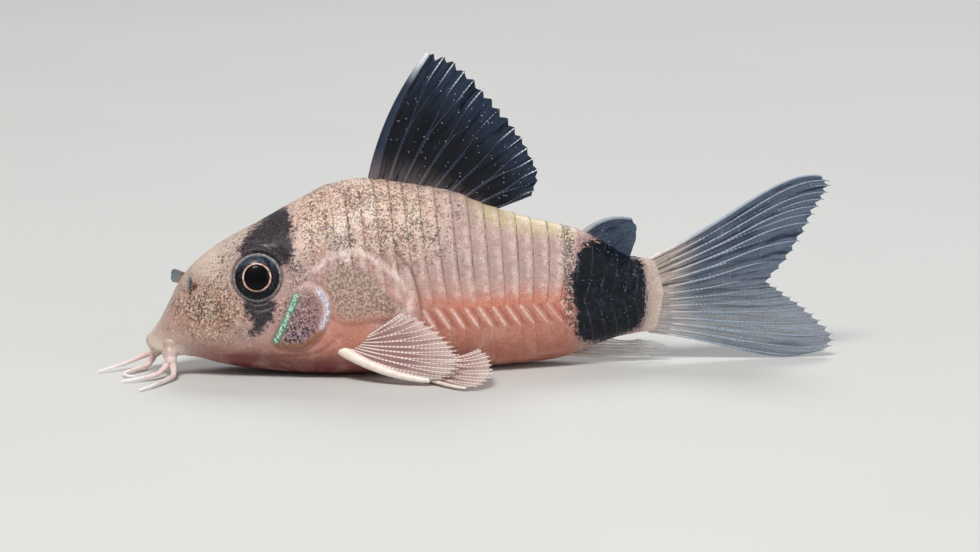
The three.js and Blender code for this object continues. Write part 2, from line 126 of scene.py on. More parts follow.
def smooth(low, high, x):
    """0 below low, 1 above high, and a soft step between."""
    t = np.clip((np.asarray(x, dtype=float) - low) / (high - low), 0, 1)
    return t * t * (3 - 2 * t)


def within(x, start, full, fading, end):
    """1 between full and fading, with a soft step up from start and down to end."""
    return smooth(start, full, x) * (1 - smooth(fading, end, x))


def hump(distance, width):
    """1 at no distance, falling off softly over the width."""
    return np.exp(-((distance / width) ** 2))


def catmull(corners, t, closed=False):
    """Points of the even spline through the corners, at t from 0 to 1."""
    corners = np.asarray(corners, dtype=float)
    if closed:
        around = np.vstack([corners[-1:], corners, corners[:2]])
    else:
        around = np.vstack([2 * corners[0] - corners[1], corners, 2 * corners[-1] - corners[-2]])
    pieces = len(around) - 3
    place = np.clip(np.asarray(t, dtype=float), 0, 1) * pieces
    i = np.minimum(place.astype(int), pieces - 1)
    w = (place - i)[..., None]
    p0, p1, p2, p3 = around[i], around[i + 1], around[i + 2], around[i + 3]
    return hermite(w, p1, p2, (p2 - p0) / 2, (p3 - p1) / 2)


def near_path(points, path):
    """Distance of each point from a path given as a list of points."""
    best = np.full(points.shape[:-1], np.inf)
    for start, end in zip(path[:-1], path[1:]):
        step = end - start
        t = np.clip(((points - start) @ step) / (step @ step), 0, 1)
        best = np.minimum(best, np.linalg.norm(points - start - t[..., None] * step, axis=-1))
    return best


def near_curve(points, corners):
    """Distance of each point from the even curve through a few corners."""
    return near_path(points, catmull(corners, np.linspace(0, 1, 13)))


def inside_outline(points, corners, samples=48):
    """Depth of each (x, z) inside a smooth closed outline: positive inside it and negative outside."""
    outline = catmull(corners, np.linspace(0, 1, samples + 1), closed=True)
    depth = near_path(points, outline)
    x, z = points[..., 0], points[..., 1]
    crossings = np.zeros(x.shape, dtype=int)
    for (x0, z0), (x1, z1) in zip(outline[:-1], outline[1:]):
        spans = (z0 > z) != (z1 > z)
        at = x0 + (z - z0) * (x1 - x0) / (z1 - z0 + 1e-12)
        crossings += spans & (x < at)
    return np.where(crossings % 2 == 1, depth, -depth)


# The body's outline in side view, its half width, and the height where it is widest

back_line = through_stations([
    (0.2, 2.95), (0.94, 4.0), (1.71, 5.5), (2.48, 7.0), (3.77, 8.5), (5.66, 9.9), (8.4, 11.35),
    (11.5, 13.05), (13.8, 14.12), (16.4, 14.52), (19.1, 14.12), (22.9, 13.42), (25.2, 12.45),
    (28.2, 11.45), (32.5, 10.32), (34.4, 9.4), (36.6, 8.15), (38.1, 7.95), (40, 8.0),
])
belly_line = through_stations([
    (0.2, 2.0), (0.9, 1.65), (2.3, 1.42), (3.8, 1.2), (5.25, 0.78), (6.7, 0.5), (8.2, 0.3),
    (9.7, 0.12), (11.5, -0.04), (14, -0.12), (22, -0.12), (25, 0.05), (29.5, 0.3), (31.2, 0.5),
    (32.8, 1.05), (34.3, 1.55), (36, 2.05), (38, 2.3), (40, 2.25),
])
half_width = through_stations([
    (0.2, 0.95), (0.9, 1.55), (2, 2.1), (4, 2.95), (6, 3.6), (8, 4.08), (10, 4.55), (12, 5), (14.5, 5.3),
    (17, 5.25), (20, 4.95), (24, 4.25), (28, 3.45), (32, 2.65), (35, 2.1), (37.5, 1.65), (40, 1.15),
])
widest_height = through_stations([
    (0.2, 2.45), (2, 3.1), (5, 4.0), (8, 4.6), (14, 5.2), (28, 5.1), (34, 5.3), (40, 5.3),
])
back_roundness = through_stations([(0, 2.2), (5, 2.1), (10, 1.95), (16, 1.8), (30, 1.85), (40, 2)])
belly_roundness = through_stations([
    (0, 2.1), (5, 2.3), (10, 2.7), (15, 2.95), (24, 2.8), (33, 2.2), (40, 2),
])

# How far the plate edges lean back from the side line: at the back's ridge, and at the belly
ridge_lean = through_stations([
    (7, 0), (13.6, -0.9), (20, -1), (27, -0.1), (33, 0.8), (36, 0.6), (38.8, -0.4), (40, -0.4),
])
belly_lean = through_stations([
    (7, 0), (13.6, -0.4), (20, 0.1), (27, 0.4), (33, 0.8), (36, 0.6), (38.8, -0.3), (40, -0.3),
])


def skin_place(side, turn):
    """Points of the smooth body. turn is 0 on the back, pi / 2 on the left side line, pi under the belly."""
    s, c = np.sin(turn), np.cos(turn)
    lean = np.where(c >= 0, ridge_lean(side) * (1 - (1 - c) ** 2), belly_lean(side) * (1 - (1 + c) ** 2))
    x = side + lean
    roundness = np.where(c >= 0, back_roundness(x), belly_roundness(x))
    middle = widest_height(x)
    reach = np.where(c >= 0, back_line(x) - middle, middle - belly_line(x))
    nose = np.sqrt(1 - (1 - np.clip(side / NOSE_ROUNDING, 0, 1)) ** 2)
    end = 1 - smooth(36.4, STALK_END, side)
    wide = half_width(x) * nose * (0.05 + 0.95 * end)
    tall = reach * nose
    y = -wide * np.sign(s) * np.abs(s) ** (2 / roundness)
    z = middle + tall * np.sign(c) * np.abs(c) ** (2 / roundness)
    return np.stack([x, y, z], axis=-1)


def plate_edges():
    """Places of the plates' rear edges along the side line."""
    edges = [FIRST_PLATE]
    for k in range(PLATES - 1):
        edges.append(edges[-1] + FIRST_PITCH + (LAST_PITCH - FIRST_PITCH) * k / (PLATES - 1))
    return np.array(edges)


# Outlines of the head's and the shoulder's plates and of the markings, as (x, z) in side view
GILL_COVER = [
    (9.24, 2.69), (9.5, 4.5), (10.23, 6.21), (11.36, 7.32), (12.47, 7.14), (13.28, 6.14), (13.27, 4.79),
    (12.44, 3.29), (11.09, 2.42),
]
GILL_STREAK = [(10.84, 6.48), (10.61, 5.81), (10.15, 4.84), (9.7, 3.79), (9.32, 3.04)]
SHOULDER_PLATE = [
    (12.59, 7.81), (13.34, 8.62), (14.82, 9.19), (16.68, 8.25), (17.71, 7.02), (18.9, 6.09),
    (19.72, 5.24), (18.52, 4.59), (16.43, 4.49), (14.79, 4.3), (13.46, 4.86),
]
MASK_ABOVE = [
    (9.5, 12.1), (10.45, 12.1), (10.5, 10.6), (10.45, 9.3), (9.7, 8.8), (8.47, 9.3), (7.0, 9.6),
    (7.7, 10.5), (8.5, 11.2),
]
MASK_BELOW = [(7.17, 5.89), (9.1, 5.85), (8.8, 4.72), (8.19, 4.05), (7.59, 3.54), (7.9, 4.44)]
STALK_BAND = [
    (32.74, 9.23), (32.14, 8.09), (31.76, 6.34), (32.15, 4.41), (32.31, 2.48), (34.07, 1.75),
    (35.99, 2.32), (37.36, 3.14), (37.65, 5.06), (37.48, 7.37), (36.87, 8.3), (35.56, 8.94),
    (34.04, 9.51),
]
UPPER_LIP = [(2.3, -1.75, 1.75), (1.3, -1.6, 2.0), (0.62, -0.95, 2.3), (0.4, 0, 2.45)]
LOWER_LIP = [(2.4, -1.45, 1.2), (1.6, -1.05, 1.1), (1.25, 0, 1.08)]
MOUTH_LINE = [(2.2, -1.75, 1.5), (1.2, -1.35, 1.6), (0.75, 0, 1.65)]
NOSTRIL = np.array([3.4, -1.98, 6.8])
GILL_BONE = [
    (9.6, 2.9), (9.9, 4.6), (10.6, 6.2), (11.5, 6.9), (12.3, 6.5), (12.7, 5.2), (12.2, 3.6), (11.0, 2.7),
]
CLEITHRUM = [
    (12.3, 8.4), (13.6, 9.3), (15.6, 9.6), (17.6, 8.4), (18.9, 7.0), (19.3, 5.6), (18.4, 4.2),
    (17.0, 3.6),
]
BEHIND_CLEITHRUM = [(18.3, 9.6), (19.4, 8.2), (20.0, 6.4), (20.2, 4.8)]
SHOULDER_CREST = [(10.6, 8.6), (13.0, 9.3), (15.6, 9.5)]
CHEEK_LINE = [(8.0, 3.4), (8.7, 4.9), (9.9, 6.5), (10.6, 7.7)]
THROAT_LINE = [(5.0, 1.75), (9.0, 1.7), (12.4, 2.1), (14.0, 3.4)]
EYE_FOLD = [(9.0, 10.3), (7.2, 10.25), (5.9, 9.3)]

# Where each nostril's leaf of skin is rooted, and the way it stands
NOSTRIL_LEAVES = {
    "left": ((3.05, -1.75, 6.95), (-0.25, -0.85, 0.45)),
    "right": ((2.75, 1.75, 6.95), (-0.7, 0.68, 0.12)),
}


def raise_plates(side, turn, height):
    """Lift of the armour: each plate slopes up to its rear edge and steps down sharply behind it."""
    edges = plate_edges()
    starts = np.append(PLATES_START, edges[:-1])
    k = np.clip(np.searchsorted(edges, side, side="left"), 0, PLATES - 1)
    phase = np.clip((side - starts[k]) / (edges[k] - starts[k]), 0, 1)
    phase = np.where(side > edges[-1], 0, phase)
    from_back = np.minimum(turn, 2 * np.pi - turn) / np.pi
    bare_belly = 1 - smooth(0.76, 0.86, from_back)
    seam = 1 - 0.75 * hump(from_back - 0.5, 0.025)
    on_ridge = 0.12 + 0.38 * smooth(16.5, 20.5, side)
    ridge = on_ridge + (1 - on_ridge) * smooth(0, 0.14, from_back)
    girdle = np.where(from_back > 0.42, smooth(18, 19.2, side), 1)
    lift = phase**1.4 * (1 - 0.25 * smooth(0.93, 1, phase))
    fading = 1 - smooth(37.0, 38.2, side)
    return height * lift * bare_belly * seam * ridge * girdle * fading, phase, k


def head_relief(flank, outline):
    """Lift of the head's bones and folds. flank is each point turned to the left, and outline its (x, z)."""
    upper, lower, mouth = (near_curve(flank, path) for path in (UPPER_LIP, LOWER_LIP, MOUTH_LINE))
    lift = 0.32 * hump(upper, 0.42) + 0.22 * hump(lower, 0.34) - 0.5 * hump(mouth, 0.17)
    cup = np.linalg.norm(flank - NOSTRIL, axis=-1)
    lift += 0.06 * hump(cup - 0.36, 0.1) - 0.4 * hump(cup, 0.24)
    gill = inside_outline(outline, GILL_COVER)
    rear = 0.4 + 0.6 * smooth(9.6, 12.4, outline[..., 0])
    lift += 0.16 * smooth(0, 0.16, gill) * rear - 0.13 * hump(gill + 0.16, 0.13) * rear
    shoulder = inside_outline(outline, SHOULDER_PLATE)
    lift += 0.12 * smooth(-0.05, 0.35, shoulder) + 0.06 * hump(shoulder - 0.2, 0.16)
    for curve, rise, width in (
        (CHEEK_LINE, -0.06, 0.16),
        (THROAT_LINE, -0.09, 0.16),
        (EYE_FOLD, -0.05, 0.1),
        (SHOULDER_CREST, 0.04, 0.3),
        (CLEITHRUM, 0.05, 0.3),
    ):
        lift += rise * hump(near_curve(outline, curve), width)
    return lift, gill, shoulder


def settle_round_eye(flank):
    """How far skin moves along the eye's facing, and each point's distance from the eye's axis."""
    out = (flank - EYE_PLACE) @ EYE_FACING
    across = np.linalg.norm(flank - EYE_PLACE - out[..., None] * EYE_FACING, axis=-1)
    near_side = smooth(-2.2, -1.2, out)
    above = smooth(0.2, 1.6, flank[..., 2] - EYE_PLACE[2])
    rim = 0.34 + 0.17 * hump(across - 2.12, 0.16) - 0.03 * hump(across - 2.42, 0.1)
    rim += 0.03 * hump(across - 2.62, 0.12) * above - 1.5 * (1 - smooth(1.62, 1.93, across))
    weight = (1 - smooth(2.0, 3.1, across)) * near_side
    return weight * (rim - out), across


# Meshes


def add_piece(name, points, faces, material, nodes, values):
    """A smooth-shaded mesh object that rides on the fish, with named values stored on its corners."""
    mesh = bpy.data.meshes.new(name)
    mesh.from_pydata(to_frame(points).tolist(), [], faces)
    mesh.polygons.foreach_set("use_smooth", np.ones(len(mesh.polygons), dtype=bool))
    for label, numbers in values.items():
        layer = mesh.attributes.new(label, "FLOAT", "POINT")
        layer.data.foreach_set("value", np.ascontiguousarray(numbers, dtype=np.float32).ravel())
    mesh.materials.append(material)
    mesh.update()
    piece = bpy.data.objects.new(name, mesh)
    bpy.context.scene.collection.objects.link(piece)
    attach(piece, "root")
    if nodes:
        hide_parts(*nodes)


def tube_faces(rings, sides, first=0, capped=True):
    """Faces of a tube of rings of corners, with its ends closed."""
    faces = []
    for i in range(rings - 1):
        for k in range(sides):
            a = first + i * sides + k
            b = first + i * sides + (k + 1) % sides
            faces.append((a, a + sides, b + sides, b))
    if capped:
        faces.append(tuple(first + k for k in range(sides)))
        last = first + (rings - 1) * sides
        faces.append(tuple(last + k for k in reversed(range(sides))))
    return faces


def ball_faces(count, sides):
    """Faces of a tube closed to a point at both ends, by the last two corners of the mesh."""
    front, back, last = count * sides, count * sides + 1, (count - 1) * sides
    faces = tube_faces(count, sides, capped=False)
    faces += [(front, k, (k + 1) % sides) for k in range(sides)]
    faces += [(back, last + (k + 1) % sides, last + k) for k in range(sides)]
    return faces


def sheet_faces(rows, columns):
    """Faces of a closed sheet made of a front and a back grid of corners."""
    faces = []
    back = rows * columns
    for i in range(rows - 1):
        for j in range(columns - 1):
            a, d = i * columns + j, (i + 1) * columns + j
            faces += [(a, a + 1, d + 1, d), (a + back, d + back, d + 1 + back, a + 1 + back)]
    border = list(range(columns - 1))
    border += [i * columns + columns - 1 for i in range(rows - 1)]
    border += [(rows - 1) * columns + j for j in range(columns - 1, 0, -1)]
    border += [i * columns for i in range(rows - 1, 0, -1)]
    return faces + [(b, a, a + back, b + back) for a, b in zip(border, border[1:] + border[:1])]


def turned_over(faces):
    """The faces with their fronts turned to the other side, for a mirrored mesh."""
    return [face[::-1] for face in faces]


def sweep(path, radii, sides, flat=1.0, up=(0, 0, 1)):
    """Corners of a tube round a path, as rings. flat squeezes it along the second direction."""
    ahead = np.gradient(path, axis=0)
    ahead /= np.linalg.norm(ahead, axis=1, keepdims=True)
    across = np.cross(ahead, np.asarray(up, dtype=float))
    across /= np.linalg.norm(across, axis=1, keepdims=True) + 1e-12
    other = np.cross(across, ahead)
    angle = np.linspace(0, 2 * np.pi, sides, endpoint=False)
    c, s = np.cos(angle)[None, :, None], np.sin(angle)[None, :, None]
    offset = c * across[:, None] + flat * s * other[:, None]
    return path[:, None] + radii[:, None, None] * offset


# Node helpers


def colour(red, green, blue):
    """A display colour as the linear colour that nodes take."""
    linear = [v / 12.92 if v <= 0.04045 else ((v + 0.055) / 1.055) ** 2.4 for v in (red, green, blue)]
    return (*linear, 1.0)


class Nodes:
    """The nodes of one tree, and the base colour that over() paints. Three numbers are a display colour."""

    def __init__(self, tree):
        self.tree = tree
        self.base = None

    def feed(self, sockets, values):
        """Sets or links sockets by name or number."""
        for label, value in values.items():
            if isinstance(value, bpy.types.NodeSocket):
                self.tree.links.new(value, sockets[label])
            elif isinstance(value, tuple) and len(value) == 3:
                sockets[label].default_value = colour(*value)
            else:
                sockets[label].default_value = value

    def put(self, kind, inputs=None, **settings):
        """A new node, with its settings and inputs."""
        made = self.tree.nodes.new(kind)
        for label, value in settings.items():
            setattr(made, label, value)
        self.feed(made.inputs, inputs or {})
        return made

    def mix(self, factor, first, second):
        """The first colour, turning into the second as the factor goes from 0 to 1."""
        inputs = {0: factor, 6: first, 7: second}
        return self.put("ShaderNodeMix", inputs, data_type="RGBA", clamp_factor=True).outputs[2]

    def calc(self, operation, first, second, clamp=False):
        """A sum on values."""
        made = self.put("ShaderNodeMath", {0: first, 1: second}, operation=operation, use_clamp=clamp)
        return made.outputs[0]

    def times(self, first, second):
        """The product of two values."""
        return self.calc("MULTIPLY", first, second)

    def step(self, value, low, high, to_low=0.0, to_high=1.0):
        """A soft step of a value from low to high."""
        inputs = {"Value": value, "From Min": low, "From Max": high, "To Min": to_low, "To Max": to_high}
        return self.put("ShaderNodeMapRange", inputs, interpolation_type="SMOOTHSTEP").outputs[0]

    def blend(self, value, low, high, first, second):
        """The first colour below low, turning into the second above high."""
        return self.mix(self.step(value, low, high), first, second)

    def shade(self, base, value):
        """A colour made lighter or darker by a value near 1."""
        return self.put("ShaderNodeHueSaturation", {"Color": base, "Value": value}).outputs[0]

    def stored(self, label):
        """A value stored on the mesh."""
        return self.put("ShaderNodeAttribute", attribute_name=label).outputs["Fac"]

    def place(self):
        """The point of the fish that is shaded."""
        return self.put("ShaderNodeTexCoord").outputs["Object"]

    def noise(self, size, detail, roughness=0.55):
        """Noise whose blotches are about size millimetres across."""
        inputs = {"Vector": self.place(), "Scale": 1 / (size * MM), "Detail": detail, "Roughness": roughness}
        return self.put("ShaderNodeTexNoise", inputs).outputs["Fac"]

    def over(self, mask, tone, strength=1.0):
        """Paints a colour over the base colour where the mask is."""
        if strength != 1.0:
            mask = self.times(mask, strength)
        self.base = self.mix(mask, self.base, tone)

    def specks(self, amount, size):
        """The mask of pigment cells."""
        inputs = {"Amount": amount, "Size": size}
        return self.put("ShaderNodeGroup", inputs, node_tree=specks_group()).outputs["Mask"]

    def painted_glint_flakes(self, amount, size, strength=1.0, **tones):
        """Paints glints of light on tiny guanine facets over the base colour: painted glints."""
        inputs = {"Amount": amount, "Size": size, **tones}
        made = self.put("ShaderNodeGroup", inputs, node_tree=flakes_group())
        self.over(made.outputs["Mask"], made.outputs["Colour"], strength)

    def relief(self, size, strength, distance):
        """The normal of a finely bumpy surface."""
        height = self.put("ShaderNodeGroup", {"Size": size}, node_tree=relief_group()).outputs["Height"]
        inputs = {"Strength": strength, "Distance": distance, "Height": height}
        return self.put("ShaderNodeBump", inputs).outputs[0]


def group_of(name, fill, inputs, outputs):
    """A shader node group. Its nodes are made by fill the first time it is asked for."""
    if name not in bpy.data.node_groups:
        n = Nodes(bpy.data.node_groups.new(name, "ShaderNodeTree"))
        for label, default in inputs.items():
            kind = "NodeSocketColor" if isinstance(default, tuple) else "NodeSocketFloat"
            n.tree.interface.new_socket(label, in_out="INPUT", socket_type=kind).default_value = default
        for label in outputs:
            kind = "NodeSocketColor" if label == "Colour" else "NodeSocketFloat"
            n.tree.interface.new_socket(label, in_out="OUTPUT", socket_type=kind)
        results = fill(n, n.put("NodeGroupInput").outputs)
        n.feed(n.put("NodeGroupOutput").inputs, results)
    return bpy.data.node_groups[name]


def fill_specks(n, given):
    """Pigment cells: small ragged dots, more and larger where the amount is higher."""
    scale = n.calc("DIVIDE", 1 / MM, given["Size"])
    wider = n.calc("DIVIDE", scale, 6.0)
    where = n.place()
    fine = n.put("ShaderNodeTexNoise", {"Vector": where, "Scale": scale, "Detail": 2.5, "Roughness": 0.6})
    coarse = n.put("ShaderNodeTexNoise", {"Vector": where, "Scale": wider, "Detail": 2.0})
    clumped = n.calc("ADD", fine.outputs["Fac"], n.times(coarse.outputs["Fac"], 0.35))
    bar = n.calc("SUBTRACT", 0.92, n.times(given["Amount"], 0.34))
    return {"Mask": n.step(n.calc("SUBTRACT", clumped, bar), -0.02, 0.05)}


def specks_group():
    """The node group of pigment cells."""
    return group_of("Pigment Specks", fill_specks, {"Amount": 0.5, "Size": 0.2}, ["Mask"])


def fill_flakes(n, given):
    """Guanine facets in the skin, each with a chance to shine in its own hue: their shine is painted into the
    colour as glints.
    """
    scale = n.calc("DIVIDE", 1 / MM, given["Size"])
    cells = n.put("ShaderNodeTexVoronoi", {"Vector": n.place(), "Scale": scale})
    parts = n.put("ShaderNodeSeparateColor", {"Color": cells.outputs["Color"]})
    lit = n.calc("GREATER_THAN", parts.outputs[0], n.calc("SUBTRACT", 1.0, given["Amount"]))
    core = n.step(cells.outputs["Distance"], 0.55, 0.25)
    return {"Mask": n.times(lit, core), "Colour": n.mix(parts.outputs[1], given["Cool"], given["Warm"])}


def flakes_group():
    """The node group of painted glints on guanine facets."""
    inputs = {"Amount": 0.3, "Size": 0.12, "Cool": colour(0.45, 0.75, 0.75), "Warm": colour(0.95, 0.85, 0.6)}
    return group_of("Painted Glint Flakes", fill_flakes, inputs, ["Mask", "Colour"])


def fill_relief(n, given):
    """Fine wet skin: pores and low bumps, as a height from 0 to 1."""
    scale = n.calc("DIVIDE", 1 / MM, given["Size"])
    wider = n.calc("DIVIDE", scale, 3.0)
    where = n.place()
    bumps = n.put("ShaderNodeTexVoronoi", {"Vector": where, "Scale": scale}, feature="SMOOTH_F1")
    waves = n.put("ShaderNodeTexNoise", {"Vector": where, "Scale": wider, "Detail": 3.0})
    total = n.calc("ADD", n.times(bumps.outputs["Distance"], 0.5), waves.outputs["Fac"])
    return {"Height": n.times(total, 0.6)}


def relief_group():
    """The node group of fine relief."""
    return group_of("Fine Relief", fill_relief, {"Size": 0.15}, ["Height"])


def new_material(name, **sockets):
    """A material, its nodes and its Principled shader's inputs, with the constants set."""
    material = bpy.data.materials.new(name)
    material.use_nodes = True
    inputs = material.node_tree.nodes["Principled BSDF"].inputs
    for label, value in sockets.items():
        inputs[label.replace("_", " ").title().replace("Ior", "IOR")].default_value = value
    return material, Nodes(material.node_tree), inputs


# Materials

# The values that skin_colours stores on the skin
SKIN_VALUES = (
    "blush nape orange low throat cream pale pearl tan rust marks marks_dark edge edge_all freckle glint "
    "spark gill_dark gill_brown gill_rim streak shoulder shoulder_rim dark_line mask band"
).split()


def skin_material():
    """Wet armoured skin: salmon flesh, dark specks, black mask and stalk band, and shiny gill covers, with
    painted shade low on the body and painted highlights and glints of light.
    """
    colours = bpy.context.scene.corydoras_colours
    material, n, inputs = new_material(
        "wet armoured skin",
        specular_ior_level=0.22,
        coat_weight=0.12,
        coat_roughness=0.18,
        subsurface_weight=0.08,
        subsurface_scale=0.0004,
        subsurface_radius=(1.0, 0.35, 0.2),
    )
    v = SimpleNamespace(**{label: n.stored(label) for label in SKIN_VALUES})
    blotches = n.noise(1.6, 4)
    patches = n.noise(0.5, 4, 0.65)
    grain = n.noise(0.16, 3, 0.7)
    fine = n.noise(0.075, 2, 0.6)

    # Flesh, darker low on the body and at the stalk's end with painted shade
    n.base = n.mix(v.blush, (*colours.pink, 1), (*colours.salmon, 1))
    n.over(v.nape, (0.93, 0.8, 0.73))
    n.over(v.orange, (0.88, 0.52, 0.4))
    # Painted shade: the low flanks, the chin and the underside of the head are deeper red flesh, darkened
    # further as shade under the body.
    n.over(v.low, (0.66, 0.4, 0.33))
    n.over(v.throat, (0.42, 0.17, 0.16))
    n.over(v.cream, (0.82, 0.76, 0.6))
    n.over(v.pale, (0.84, 0.78, 0.72))
    n.over(v.tan, n.blend(grain, 0.4, 0.62, (0.46, 0.33, 0.25), (0.82, 0.65, 0.54)))
    n.over(n.step(blotches, 0.45, 0.7), (0.9, 0.78, 0.74), 0.22)

    # Specks, the marks on the plates, painted highlights on the plates' raised rear parts, and painted glints
    # of light
    n.over(n.specks(v.rust, 0.28), (0.6, 0.4, 0.3), 0.55)
    n.over(n.specks(n.times(v.freckle, 0.9), 0.21), (0.93, 0.87, 0.8), 0.55)
    # The pale slanted marks below the seam: partly the pale tips of the lower plates, partly a painted
    # highlight of the plates' relief.
    n.over(n.times(v.marks, n.step(grain, 0.3, 0.6, 0.4, 1.0)), (0.98, 0.87, 0.84))
    n.over(v.marks_dark, (0.62, 0.33, 0.26), 0.6)
    # Painted highlight: a light band on the raised rear part of each plate, as if it caught the light.
    n.over(n.times(v.pearl, n.step(patches, 0.36, 0.62, 0.1, 0.5)), (0.93, 0.84, 0.8))
    n.over(n.times(v.edge, n.step(patches, 0.42, 0.56)), (0.3, 0.25, 0.24), 0.72)
    n.over(n.specks(v.freckle, 0.15), (0.2, 0.17, 0.17), 0.74)
    # Painted glints of light, teal and gold, where the skin's guanine facets would catch it.
    n.painted_glint_flakes(v.glint, 0.14, 0.85)

    # Gill cover and shoulder
    n.over(v.gill_dark, n.blend(n.noise(0.2, 3), 0.42, 0.56, (0.2, 0.14, 0.17), (0.6, 0.5, 0.53)))
    n.over(v.gill_brown, (0.56, 0.38, 0.24))
    n.over(v.gill_rim, n.blend(grain, 0.35, 0.6, (0.6, 0.58, 0.66), (0.95, 0.95, 1.0)))
    # Painted glints of light, white and gold, on the gill cover.
    n.painted_glint_flakes(v.spark, 0.12, 0.8, Cool=(0.86, 0.84, 0.95), Warm=(0.85, 0.75, 0.5))
    halo = n.times(n.step(v.streak, 0.05, 0.7), n.step(patches, 0.36, 0.56, 0.15, 0.8))
    n.over(halo, n.mix(grain, (0.1, 0.26, 0.25), (0.36, 0.62, 0.5)))
    core = n.times(n.step(v.streak, 0.55, 0.95), n.step(grain, 0.42, 0.54))
    n.over(core, n.blend(fine, 0.4, 0.6, (0.42, 0.86, 0.62), (0.85, 0.98, 0.95)))
    n.over(v.shoulder, n.blend(n.noise(0.18, 4), 0.4, 0.58, (0.46, 0.4, 0.37), (0.76, 0.66, 0.6)))
    n.over(n.times(v.shoulder_rim, n.step(patches, 0.3, 0.6, 0.3, 0.9)), (0.93, 0.84, 0.81))
    n.over(v.dark_line, (0.34, 0.26, 0.25))

    # The eye mask and the stalk's band, with ragged edges
    ragged = n.times(n.calc("SUBTRACT", n.noise(0.3, 5, 0.7), 0.5), 2.4)
    mask = n.step(n.calc("ADD", v.mask, n.times(ragged, 0.8)), -0.2, 0.3)
    n.over(mask, n.blend(grain, 0.4, 0.7, (0.11, 0.1, 0.13), (0.29, 0.27, 0.3)), 0.97)
    reach = n.calc("ADD", v.band, n.times(ragged, 0.85))
    n.over(n.times(n.step(reach, -0.7, 0.1), n.step(grain, 0.35, 0.6)), (0.36, 0.24, 0.25), 0.7)
    under = n.base
    n.base = n.blend(patches, 0.5, 0.72, (*colours.black, 1), (0.11, 0.15, 0.22))
    n.over(n.times(v.edge_all, n.step(n.noise(0.7, 3), 0.42, 0.66)), (0.4, 0.45, 0.54), 0.42)
    # Painted glints of light, small and blue-white, on the black band.
    n.painted_glint_flakes(0.02, 0.08, Cool=(0.3, 0.6, 0.75), Warm=(0.5, 0.7, 0.8))
    painted = n.mix(n.step(reach, -0.12, 0.12), under, n.base)
    mottling = n.times(n.step(fine, 0.3, 0.7, 0.76, 1.2), n.step(patches, 0.3, 0.7, 0.94, 1.05))
    n.feed(inputs, {
        "Base Color": n.shade(painted, mottling),
        "Roughness": n.step(grain, 0.3, 0.7, 0.3, 0.55),
        "Normal": n.relief(0.13, 1.0, 0.00006),
    })
    return material


def eye_material():
    """A black pupil in a thin broken gold ring, a blue-black iris with painted light on its upper part, and a
    pale rim, under a wet surface.
    """
    colours = bpy.context.scene.corydoras_colours
    material, n, inputs = new_material(
        "wet eye", roughness=0.5, specular_ior_level=0.08, coat_weight=0.14, coat_roughness=0.03
    )
    above = n.stored("above")
    wobble = n.times(n.calc("SUBTRACT", n.noise(0.5, 2), 0.5), 0.06)
    reach = n.calc("ADD", n.stored("across"), wobble)
    n.base = n.blend(n.noise(0.22, 4), 0.45, 0.75, (0.07, 0.07, 0.09), (0.2, 0.21, 0.26))
    # Painted sheen: the upper part of the iris lighter and bluer, as if lit from above.
    sheen = n.times(n.step(above, 0.2, 1.5), n.step(n.noise(0.4, 3), 0.38, 0.62, 0.1, 0.9))
    n.over(sheen, (0.42, 0.47, 0.56), 0.5)
    rim = n.blend(n.noise(0.16, 3), 0.35, 0.7, (0.4, 0.4, 0.42), (0.74, 0.72, 0.7))
    n.over(n.step(reach, 1.6, 1.72), rim)
    gold = n.blend(n.noise(0.3, 3), 0.3, 0.6, (0.7, 0.48, 0.38), (*colours.ring, 1))
    ring = n.times(n.step(reach, 0.95, 0.99), n.step(reach, 1.1, 1.05))
    n.over(n.times(ring, n.step(above, -1.1, -0.7, 0.3, 1.0)), gold)
    pupil = n.blend(n.noise(0.8, 2), 0.45, 0.75, (0.0, 0.0, 0.01), (0.01, 0.02, 0.07))
    n.over(n.step(reach, 0.95, 0.91), pupil)
    n.feed(inputs, {"Base Color": n.base})
    return material


def soft_material(name, root, tip, blood):
    """Soft translucent skin of whiskers and nostril flaps, paler towards the tip, with pink veins."""
    material, n, inputs = new_material(
        name,
        specular_ior_level=0.3,
        coat_weight=0.15,
        coat_roughness=0.2,
        subsurface_weight=0.2,
        subsurface_scale=0.0003,
    )
    out = n.stored("out")
    n.base = n.blend(out, 0.1, 0.9, root, tip)
    n.over(n.times(n.step(n.noise(0.45, 3), 0.45, 0.7), n.step(out, 0.95, 0.3)), blood, 0.6)
    n.over(n.specks(0.22, 0.15), (0.45, 0.3, 0.26), 0.4)
    n.feed(inputs, {
        "Base Color": n.base,
        "Roughness": n.step(n.noise(0.3, 2), 0.3, 0.7, 0.3, 0.45),
        "Normal": n.relief(0.14, 0.5, 0.00003),
    })
    return material


